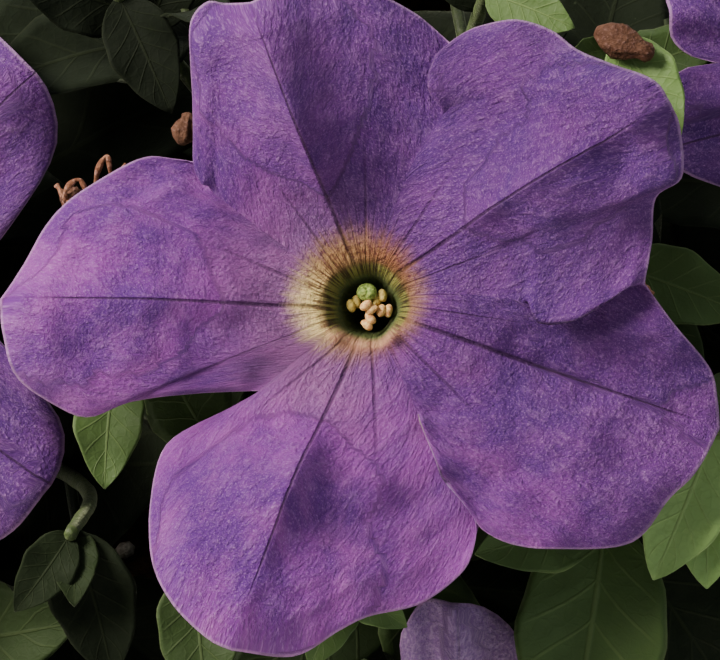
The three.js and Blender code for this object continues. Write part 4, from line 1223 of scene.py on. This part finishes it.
def pot_piece(material):
    """The moulded pot with its ears, drilled for the wires and for draining."""
    rim, base, height, wall, floor = (POT[k] for k in ("rim", "base", "height", "wall", "floor"))
    bottom = RIM_Z - height
    lip_foot = mix(rim, base, POT["lip_deep"] / height)
    lip = rim + POT["lip_out"]
    groove = [(radius, bottom + deep) for radius, deep in POT_GROOVE]
    wall_foot = [(0.2, bottom), *groove, (base, bottom)]
    ribs = []
    for share in POT_RIBS:
        z, radius = bottom + share * height, mix(base, rim, share)
        ribs += [(radius + out, z + above) for out, above in POT_RIB]
    outside = [(lip_foot, RIM_Z - POT["lip_deep"]), (lip, RIM_Z - POT["lip_deep"] + 2), (lip, RIM_Z)]
    inside = [(rim - wall, RIM_Z), (base - wall, bottom + floor), (0.2, bottom + floor)]
    body = Body(("grain",))
    lathe(body, WORLD, rounded(wall_foot + ribs + outside + inside), 144)
    for i in range(WIRE["count"]):
        lug(body, wire_angle(i))
    piece = body.piece("pot_shell", [material], "pot", ["pot"])
    holes = [cutter(*wire_ends(i), LUG["hole"], 10) for i in range(WIRE["count"])]
    for i in range(DRAIN["count"]):
        x, y = polar(DRAIN["ring"], FULL * (i + 0.5) / DRAIN["count"])
        holes.append(cutter(vec(x, y, bottom - 2), vec(x, y, bottom + floor + 2), DRAIN["radius"], 0))
    cut(piece, holes)
    return piece


def lug(body, angle):
    """One of the lip's ears, with its corners rounded."""
    long, wide, thick = LUG["outer"] - LUG["inner"] - 2, LUG["width"], LUG["thick"]
    middle = vec(*polar((LUG["inner"] + LUG["outer"]) / 2 - 1, angle), RIM_Z - LUG["below"] - thick / 2)
    own = Axes(middle, vec(*polar(1, angle), 0), vec(*polar(1, angle + FULL / 4), 0), UP)
    a = circle(48)
    power = 0.35
    x = 0.5 * long * np.sign(np.cos(a)) * np.abs(np.cos(a)) ** power
    y = 0.5 * wide * np.sign(np.sin(a)) * np.abs(np.sin(a)) ** power
    rows = [(0.94, -0.5), (0.99, -0.44), (1, -0.34), (1, 0.34), (0.99, 0.44), (0.94, 0.5)]
    body.rings(np.array([own.at(x * k, y * k, z * thick + 0 * a) for k, z in rows])[::-1])


SOIL_WAVES = [(1.5, 11, 0), (1.1, 4.5, 5), (0.7, 2.1, 9)]


def soil_piece(material, perlite):
    """Peaty compost with pale perlite grains in its top."""
    deep = POT["height"] - POT["floor"] - SEAT_GAP
    angle = circle(180)

    def inner(below):
        return mix(POT["rim"], POT["base"], below / (POT["height"] - POT["floor"])) - POT["wall"] - SEAT_GAP

    edge = inner(SOIL["below"])
    rows = []
    for radius in np.linspace(0.3, edge, 70):
        height = uneven(level(radius, angle, 0), SOIL_WAVES)
        rows.append(level(radius, angle, RIM_Z - SOIL["below"] - 1.6 + height))
    rows += [level(inner(below), angle, RIM_Z - below) for below in (SOIL["below"] + 4, deep * 0.5, deep)]
    rows.append(level(0.3, angle, RIM_Z - deep))
    body = Body(("grain",))
    body.rings(np.array(rows))
    draw = Draws(5)
    for _ in range(GRAINS["count"]):
        p = vec(*polar((edge - 4) * math.sqrt(draw()), FULL * draw()), 0)
        size = draw.within(*GRAINS["size"])
        own = axes_of(vec(0, 0, 0), vec(draw() - 0.5, draw() - 0.5, draw()))
        radii = (size, size * draw.within(0.7, 1), size * draw.within(0.6, 0.9))
        height = uneven(p, SOIL_WAVES[:2])
        ball(body, p + UP * (RIM_Z - SOIL["below"] - 1.2 + height), own, radii, 1, 7, 4)
    return body.piece("compost", [material, perlite], "soil", ["soil"])


def wire_piece(i, material):
    """A straight wire with a ball at each end, outside the holes."""
    top, foot = wire_ends(i)
    along = unit(foot - top)
    top_ball = top - along * (WIRE["ball"] + SEAT_GAP + 0.8)
    foot_ball = foot + along * (WIRE["ball"] + SEAT_GAP + LUG["thick"] / 2 + 0.4)
    body = Body(("grain",))
    tube(body, Strand([top_ball, foot_ball]), WIRE["radius"], 16, 40)
    own = axes_of(top, along)
    for centre in (top_ball, foot_ball):
        ball(body, centre, own, (WIRE["ball"],) * 3, 0, 24, 16)
    return body.piece(f"wire_{i + 1}_fine", [material], "wire", [f"wire_{i + 1:02d}"])


def hook_piece(material):
    """The bent rod with the drilled hub at its foot."""
    rod, bow = HOOK["rod"], HOOK["bow"]
    points = []
    for i in range(9):
        x, z = polar(bow + rod, math.radians(mix(208, -32, i / 8)))
        points.append(vec(x, 0, z - bow))
    points += [vec(x, 0, z) for x, z in HOOK_SHANK] + [vec(0, 0, HOOK["hub_top"] - HOOK["hub_thick"] / 2)]
    body = Body(("grain",))
    tube(body, Strand(points), lambda t: rod * (1 - 0.12 * (t < 0.012)), 24, 140)
    ball(body, points[0], axes_of(vec(0, 0, 0), vec(0.2, 0, 1)), (rod, rod, rod), 0, 24, 12)
    top, low, radius = HOOK["hub_top"], HOOK["hub_top"] - HOOK["hub_thick"], HOOK["hub_radius"]
    hub = [(0.2, low), (radius, low), (radius, top), (5, top), (3.4, top + 1.6), (0.2, top + 1.8)]
    lathe(body, WORLD, rounded(hub), 64)
    piece = body.piece("hook_fine", [material], "hook", ["hook"])
    cut(piece, [cutter(*wire_ends(i), LUG["hole"], 12) for i in range(WIRE["count"])])
    return piece


# ---- Materials ----
def colour(code):
    """A linear colour from the hex code that a screen shows."""
    parts = [int(code[i: i + 2], 16) / 255 for i in (0, 2, 4)]
    return [c / 12.92 if c < 0.04045 else ((c + 0.055) / 1.055) ** 2.4 for c in parts] + [1]


class Value:
    """A node's output, which sums go on from."""

    def __init__(self, nodes, socket):
        self.nodes, self.socket = nodes, socket

    def __add__(self, other):
        return self.nodes.math("ADD", self, other)

    def __sub__(self, other):
        return self.nodes.math("SUBTRACT", self, other)

    def __mul__(self, other):
        return self.nodes.math("MULTIPLY", self, other)

    def __truediv__(self, other):
        return self.nodes.math("DIVIDE", self, other)

    def __pow__(self, other):
        return self.nodes.math("POWER", self, other)

    def __abs__(self):
        return self.nodes.math("ABSOLUTE", self)


class Nodes:
    """A material and short calls for its nodes. A colour may be given as its hex code."""

    def __init__(self, name, **values):
        self.material = bpy.data.materials.new(name)
        self.material.use_nodes = True
        self.tree = self.material.node_tree
        self.shader = self.tree.nodes["Principled BSDF"]
        self.set(**values)

    def set(self, **values):
        for key, value in values.items():
            self.put(self.shader.inputs[key.replace("_", " ").title().replace("Ior", "IOR")], value)

    def put(self, socket, value):
        if isinstance(value, Value):
            self.tree.links.new(value.socket, socket)
        else:
            socket.default_value = colour(value) if isinstance(value, str) else value

    def node(self, kind, inputs, output=0, **settings):
        """A new node's output, with values put in its named or numbered inputs."""
        made = self.tree.nodes.new("ShaderNode" + kind)
        for key, value in settings.items():
            setattr(made, key, value)
        for key, value in inputs.items():
            self.put(made.inputs[key], value)
        return Value(self, made.outputs[output])

    def field(self, name):
        return self.node("Attribute", {}, "Vector", attribute_name=name)

    def parts(self, vector):
        x = self.node("SeparateXYZ", {0: vector})
        return [Value(self, output) for output in x.socket.node.outputs]

    def join(self, x, y, z=0.0):
        return self.node("CombineXYZ", {0: x, 1: y, 2: z})

    def math(self, operation, a, b=0.0, clamp=False):
        return self.node("Math", {0: a, 1: b}, operation=operation, use_clamp=clamp)

    def most(self, a, b):
        """The larger of two shares."""
        return self.math("MAXIMUM", a, b, True)

    def ramp(self, value, low, high, to_low=0.0, to_high=1.0, smoothly=True):
        kind = "SMOOTHSTEP" if smoothly else "LINEAR"
        inputs = {0: value, 1: low, 2: high, 3: to_low, 4: to_high}
        return self.node("MapRange", inputs, interpolation_type=kind, clamp=True)

    def mix(self, share, a, b):
        return self.node("Mix", {0: share, 6: a, 7: b}, 2, data_type="RGBA", clamp_factor=True)

    def stain(self, base, value, low, high, share, tint):
        """A base colour with a share of a tint where a value goes from low to high."""
        return self.mix(self.ramp(value, low, high, 0.0, share), base, tint)

    def noise(self, vector, scale, detail=2.0, rough=0.5, distort=0.0):
        inputs = dict(Vector=vector, Scale=scale, Detail=detail, Roughness=rough, Distortion=distort)
        return self.node("TexNoise", inputs, "Fac")

    def cells(self, vector, scale, feature="DISTANCE_TO_EDGE"):
        return self.node("TexVoronoi", dict(Vector=vector, Scale=scale), "Distance", feature=feature)

    def scaled(self, vector, x, y, z=1.0):
        return self.node("VectorMath", {0: vector, 1: (x, y, z)}, operation="MULTIPLY")

    def bump(self, height, strength, distance):
        inputs = dict(Strength=strength, Distance=distance, Height=height)
        self.put(self.shader.inputs["Normal"], self.node("Bump", inputs))

    def position(self):
        """The place on the object, in millimetres."""
        return self.scaled(self.node("TexCoord", {}, "Object"), 1000, 1000, 1000)


def petal_material():
    n = Nodes("petal", roughness=0.58, sheen_weight=0.05, sheen_roughness=0.5, sheen_tint="d8b4e6")
    n.set(specular_ior_level=0.2)
    petal = n.field("petal")
    away, radius, seed = n.parts(petal)
    s, along, back = n.parts(n.field("place"))
    x, y, lap_edge_and_painted_light = n.parts(n.field("spot"))
    # Broad drifts of colour: pinker by the throat and on the swells, bluer in patches further out. The pink
    # by the throat is the flower's own colour, and its extra strength on the left side is painted light.
    broad = n.noise(petal, 0.075, 3, 0.6)
    middle = n.noise(petal, 0.21, 3, 0.6)
    tint = n.mix(n.ramp(broad, 0.35, 0.68), "552376", "80388e")
    tint = n.stain(tint, middle, 0.42, 0.72, 0.34, "9a549e")
    tint = n.mix(n.ramp(radius, 22, 8, 0.0, 0.5) * n.ramp(x, 7, -7, 0.1, 1), tint, "986886")
    # Painted shade: the petals deepen towards the upper right side of the flower.
    painted_shade_side = x * 0.8 + y * 0.75
    tint = n.stain(tint, painted_shade_side, -12, 13, 0.62, "391a5a")
    # Silky wrinkles that run out along the petal at a slant. The wrinkles' and the crepe's crests are painted
    # lighter and their hollows darker, as painted highlight and painted shade, and the fine grains are
    # painted sparkle.
    slant = n.join(away + radius * 0.3, radius * 0.5, seed)
    wrinkles = n.noise(slant, 0.95, 3, 0.55, 0.5)
    silk = n.noise(slant, 3.0, 3, 0.6, 0.3)
    crepe = n.noise(petal, 1.7, 4, 0.7, 0.2)
    painted_sparkle = n.noise(petal, 4.2, 2, 0.6)
    tint = n.stain(tint, wrinkles, 0.5, 0.72, 0.12, "bd8cc6")
    tint = n.stain(tint, wrinkles, 0.48, 0.3, 0.16, "4a226f")
    tint = n.stain(tint, crepe, 0.52, 0.72, 0.3, "b07fbe")
    tint = n.stain(tint, crepe, 0.48, 0.3, 0.24, "4a226f")
    tint = n.stain(tint, painted_sparkle, 0.5, 0.75, 0.26, "c49bd0")
    # Veins: the rib, two laterals a side, and the fine dark rays that leave the throat.
    rib_width = n.ramp(radius, 6, 40, 0.3, 0.13, False)
    rib = n.ramp(abs(away) / rib_width, 1.4, 0.3)
    rib = rib * n.ramp(radius, 48, 41, 0.1, 0.85)
    lateral = abs(abs(s - 0.5) - 0.27)
    lateral = lateral * n.ramp(radius, 5, 40, 7, 52, False)
    lateral = n.ramp(lateral, 0.26, 0.06) * n.ramp(radius, 23, 9, 0, 0.7)
    turn = s + seed * 0.61
    rays = n.noise(n.join(turn * 23, radius * 0.16), 1.0, 2, 0.6, 0.2)
    fine_rays = n.noise(n.join(turn * 44, radius * 0.1), 1.0, 1, 0.5, 0.1)
    fine_rays = n.ramp(fine_rays, 0.52, 0.64) * n.ramp(radius, 15, 7.5, 0, 0.45)
    vein = n.most(n.math("MAXIMUM", rib, lateral), fine_rays)
    tint = n.mix(vein * 0.85, tint, "2b0f33")
    # The collar: yellow on one side, orange brown above, tan opposite and pink below, with brown rays. Its
    # yellow left side and pink lower side are painted light, and its orange brown upper side is painted
    # shade.
    right, up = x / radius, y / radius
    reach = right * -0.9 + up * 1.2 + n.ramp(rays, 0.3, 0.7, 0.6, -0.6, False)
    inward = reach + 6.9 - radius
    collar = n.mix(n.ramp(right, -0.5, 0.5), "f6dd8e", "ad8154")
    collar = n.stain(collar, up, 0.1, 0.85, 0.8, "84502a")
    collar = n.stain(collar, up, -0.35, -0.85, 0.85, "744438")
    speckle = n.ramp(n.noise(petal, 1.3, 2, 0.7), 0.5, 0.64, 0, 0.7) * n.ramp(up, -0.3, 0.6)
    collar = n.mix(speckle, collar, "54210f")
    tint = n.mix(n.ramp(inward, -2.6, 1.8, 0, 0.95), tint, collar)
    lines = n.ramp(rays, 0.47, 0.56)
    tint = n.mix(lines * n.ramp(inward, -0.6, 1.8, 0, 0.8), tint, "4c220f")
    tint = n.mix(rib * n.ramp(inward, -1, 1, 0, 0.7), tint, "2b100c")
    # Painted light and shade at the throat's rim and inner wall: lighter and peach below, darker olive above.
    brim = n.mix(n.ramp(up, -0.8, 0), "a9765c", "54481c")
    tint = n.stain(tint, radius, 6.4, 4.7, 0.6, brim)
    throat = n.mix(lines, "7d7c3a", "3a3413")
    throat = n.stain(throat, up, -0.4, -0.9, 0.8, "b98a70")
    tint = n.mix(n.ramp(along, -0.01, -0.12), tint, throat)
    tint = n.stain(tint, along, -0.14, -0.4, 1, "566430")
    # Painted light: a bloom that the main one shades is painted paler, as if the light reached it.
    painted_light_tint = n.mix(n.ramp(crepe, 0.4, 0.6), "a883bb", "cdb0d8")
    tint = n.stain(tint, lap_edge_and_painted_light, 0, -1, 0.52, painted_light_tint)
    # The back: paler, with the tube greenish and veined.
    under = n.mix(n.ramp(radius, 26, 9), "8a66a6", "a9a183")
    under = n.mix(vein * 0.5, under, "4c3357")
    under = n.stain(under, rays, 0.55, 0.68, 0.4, "665065")
    tint = n.mix(n.ramp(back, 0.4, 0.6), tint, under)
    # The thin pale line along each margin.
    edge = n.most(n.ramp(along, 0.987, 0.997), n.ramp(lap_edge_and_painted_light, 0.5, 0.95, 0, 0.1))
    tint = n.mix(edge * 0.4, tint, "c59cc6")
    n.set(base_color=tint)
    n.bump(wrinkles * 0.85 + silk * 0.16 + crepe * 0.85 - vein * 0.4, 0.85, 0.0008)
    n.set(subsurface_weight=0.1, subsurface_scale=0.001, subsurface_radius=(1.0, 0.45, 0.9))
    return n.material


def leaf_material():
    n = Nodes("leaf", sheen_weight=0.04, sheen_roughness=0.4, sheen_tint="c8d8b0", specular_ior_level=0.17)
    across, along, under = n.parts(n.field("blade"))
    grain = n.field("grain")
    chance, deep, young = n.parts(n.field("tone"))
    side = abs(across)
    # Lateral veins leave the midrib at a slant and bend forward.
    slant = along - side ** 0.8 * LEAF["slant"]
    wave = abs(n.math("FRACT", slant * LEAF["veins"]) - 0.5)
    lateral = n.ramp(wave, 0.07, 0.02) * n.ramp(side, 0.96, 0.6, 0, 0.7)
    midrib = n.ramp(side, 0.05, 0.015)
    net = n.ramp(n.cells(grain, 0.62), 0.1, 0.0, 0, 0.5)
    vein = n.most(midrib, lateral)
    patch = n.noise(grain, 0.16, 3, 0.6)
    mottle = n.noise(grain, 0.8, 3, 0.6)
    base = n.mix(n.ramp(chance, 0.1, 0.9, smoothly=False), "35501f", "48682c")
    base = n.stain(base, patch, 0.35, 0.7, 0.5, "263c18")
    base = n.mix(young * 0.85, base, "8cae66")
    base = n.stain(base, mottle, 0.5, 0.75, 0.3, "5f7f3c")
    base = n.mix(net * 0.2, base, "5f7f40")
    base = n.mix(vein * 0.34, base, "8fa765")
    base = n.stain(base, side, 0.95, 0.998, 0.4, "9db276")
    # Painted shade: leaves deep in the mound, round the main bloom and at the near shoots' dark end go nearly
    # black.
    base = n.stain(base, deep, 0.3, 0.92, 0.95, "030502")
    base = n.mix(n.ramp(under, 0.4, 0.6) * n.ramp(deep, 0.2, 0.7, 0.4, 0.08), base, "8a9c74")
    n.set(base_color=base)
    n.bump(mottle * 0.5 - vein * 0.5 - net * 0.15, 0.5, 0.0005)
    n.set(roughness=n.ramp(patch, 0.3, 0.7, 0.45, 0.6) + n.ramp(deep, 0.5, 1, 0, 0.35))
    return n.material


def stalk_material():
    n = Nodes("stalk", sheen_weight=0.5, sheen_roughness=0.35, sheen_tint="dbe6c0", specular_ior_level=0.3)
    place = n.position()
    fibres = n.noise(n.scaled(place, 1, 1, 0.35), 1.3, 3)
    hairs = n.noise(place, 3.2, 2)
    base = n.mix(n.ramp(fibres, 0.35, 0.65), "42562a", "657b3e")
    base = n.stain(base, hairs, 0.62, 0.72, 0.35, "a3b07a")
    # Painted shade: stalks deep in the mound go nearly black.
    base = n.stain(base, n.parts(n.field("tone"))[1], 0.2, 0.9, 0.9, "131b0d")
    n.set(base_color=base, roughness=n.ramp(fibres, 0.3, 0.7, 0.45, 0.65))
    n.bump(fibres + hairs * 0.6, 0.5, 0.0004)
    return n.material


def bud_material():
    n = Nodes("bud", roughness=0.6, sheen_weight=0.3, specular_ior_level=0.3)
    place = n.position()
    streak = n.noise(n.scaled(place, 1.2, 1.2, 0.4), 0.9, 3)
    fine = n.noise(place, 2.6, 3)
    base = n.mix(n.ramp(streak, 0.38, 0.62), "6d6f45", "77538a")
    base = n.stain(base, fine, 0.55, 0.75, 0.5, "a98fae")
    n.set(base_color=base)
    n.bump(streak + fine * 0.5, 0.6, 0.0005)
    return n.material


def withered_material():
    n = Nodes("withered", roughness=0.75, specular_ior_level=0.2)
    place = n.position()
    streak = n.noise(place, 0.5, 3)
    fine = n.noise(place, 2.2, 3)
    base = n.mix(n.ramp(streak, 0.4, 0.62), "6b4430", "94684f")
    base = n.stain(base, fine, 0.5, 0.7, 0.6, "bd9083")
    base = n.mix(n.parts(n.field("grain"))[0] * 0.72, base, "2f1c12")
    n.set(base_color=base)
    n.bump(streak + fine, 0.7, 0.0005)
    return n.material


def anther_materials():
    made = []
    for name, low, high, size in (
        ("filament", "6f6c38", "96904e", 2.0),
        ("pollen", "c98b58", "efca86", 3.0),
        ("stigma", "5f7a30", "9cb05a", 2.5),
    ):
        n = Nodes(name, specular_ior_level=0.3)
        place = n.position()
        grain = n.noise(place, size, 3)
        tint = n.mix(n.ramp(grain, 0.35, 0.65), low, high)
        if name == "pollen":
            green = n.parts(n.field("grain"))[0]
            tint = n.mix(green * 0.7, tint, "b5ab4e")
        n.set(base_color=tint, roughness=n.ramp(grain, 0.3, 0.7, 0.5, 0.8))
        n.bump(n.noise(place, 2.2 * size, 2), 0.6, 0.0002)
        made.append(n.material)
    return made


def pot_material():
    n = Nodes("pot_plastic", specular_ior_level=0.45)
    place = n.position()
    mould = n.noise(place, 1.4, 3, 0.6)
    cloud = n.noise(place, 0.03, 4, 0.6)
    z = n.parts(place)[2]
    runs = n.noise(n.scaled(place, 1, 1, 0.25), 0.12, 5, 0.7)
    dust = n.ramp(runs, 0.5, 0.75) * n.ramp(z, -448, -345, 0.55, 0.2)
    base = n.mix(n.ramp(cloud, 0.35, 0.65), "26332a", "33423a")
    base = n.mix(dust, base, "7b7a68")
    n.set(base_color=base, roughness=n.ramp(cloud, 0.3, 0.7, 0.38, 0.5) + dust * 0.35)
    n.bump(mould + cloud * 0.6, 0.25, 0.0004)
    return n.material


def soil_materials():
    n = Nodes("compost", roughness=0.95, specular_ior_level=0.15)
    place = n.position()
    crumbs = n.noise(place, 0.45, 5, 0.7)
    bits = n.cells(place, 0.5, "F1")
    base = n.mix(n.ramp(crumbs, 0.35, 0.65), "1c140e", "43301f")
    base = n.stain(base, bits, 0.3, 0.05, 0.6, "5d4630")
    n.set(base_color=base)
    n.bump(crumbs + bits * 0.6, 1.0, 0.0015)
    p = Nodes("perlite", roughness=0.9)
    place = p.position()
    pits = p.noise(place, 1.6, 3)
    p.set(base_color=p.mix(p.ramp(pits, 0.4, 0.6), "b9b3a4", "e4e0d4"))
    p.bump(pits, 0.8, 0.0006)
    return n.material, p.material


def steel_material(name, low, high):
    n = Nodes(name, metallic=0.75, specular_ior_level=0.5)
    place = n.position()
    worn = n.noise(place, 0.25, 4, 0.65)
    fine = n.noise(place, 1.8, 3)
    base = n.mix(n.ramp(worn, 0.4, 0.65), low, high)
    base = n.stain(base, fine, 0.62, 0.72, 0.6, "6b5a48")
    n.set(base_color=base, roughness=n.ramp(worn, 0.3, 0.7, 0.32, 0.55))
    n.bump(fine + worn, 0.25, 0.0002)
    return n.material


# ---- Studio ----
# The camera: how far in metres, how many millimetres it sees across, and the point that it aims at, right of,
# above and out from the main bloom's middle.
VIEW = dict(distance=0.62, width=86.4, aim=(-0.6, -3.0, 0))
SENSOR = 36
FLOOR = dict(z=-0.56, half=6)
# Area lights: the way to each from the main bloom, how far in metres, how wide, the power and the tint.
LIGHTS = dict(
    key=((-1.15, 0.75, 0.8), 1.1, 0.5, 33, "fff4ea"),
    fill=((1.0, -0.1, 0.9), 1.5, 1.2, 4, "eef2ff"),
    back=((0.2, 1.6, -0.9), 1.4, 0.8, 8, "ffffff"),
    room=((0, 1.0, 0.4), 3.2, 3.0, 22, "fbf8f4"),
)
SKY = dict(tint="dfe2e6", strength=0.3)


def looking(name, data, target, away, distance):
    """A camera or light that looks at a target from some way off."""
    made = linked(name, data)
    made.location = target + away * distance
    made.rotation_euler = away.to_track_quat("Z", "Y").to_euler()
    return made


def studio(facing):
    camera = bpy.data.cameras.new("camera")
    camera.sensor_width = SENSOR
    camera.lens = SENSOR * VIEW["distance"] / (VIEW["width"] * MM)
    camera.clip_start, camera.clip_end = 0.01, 20
    target = Vector(facing.at(*VIEW["aim"]) * MM)
    bpy.context.scene.camera = looking("camera", camera, target, Vector(facing.z), VIEW["distance"])

    mesh = bpy.data.meshes.new("floor")
    h = FLOOR["half"]
    mesh.from_pydata([(-h, -h, 0), (h, -h, 0), (h, h, 0), (-h, h, 0)], [], [(0, 1, 2, 3)])
    mesh.materials.append(Nodes("floor", roughness=0.85, base_color="efece5").material)
    floor = linked("floor", mesh)
    floor.location = (0, 0, FLOOR["z"])

    world = bpy.data.worlds.new("studio")
    world.use_nodes = True
    sky = world.node_tree.nodes["Background"]
    sky.inputs[0].default_value = colour(SKY["tint"])
    sky.inputs[1].default_value = SKY["strength"]
    bpy.context.scene.world = world
    for name, (way, far, size, power, tint) in LIGHTS.items():
        light = bpy.data.lights.new(name, "AREA")
        light.size, light.energy, light.color = size, power, colour(tint)[:3]
        looking(name, light, Vector(facing.centre * MM), Vector(unit(facing.way(*way))), far)


# ---- The whole scene ----
blooms, facing = place_blooms()
studio(facing)
stems = grow_stems(blooms, facing)

petals = petal_material()
anthers = anther_materials()
greens = [leaf_material(), stalk_material(), bud_material()]
for bloom in blooms:
    bloom_piece(bloom, petals)
for bloom in blooms:
    stamens_piece(bloom, anthers)
for stem in stems:
    foliage_piece(stem, greens)
undergrowth(stems, greens)
withered_piece(facing, withered_material())
pot_piece(pot_material())
soil_piece(*soil_materials())
for i in range(WIRE["count"]):
    wire_piece(i, steel_material("wire_steel", "2b2e2d", "454a48"))
hook_piece(steel_material("hook_steel", "222524", "3c403e"))
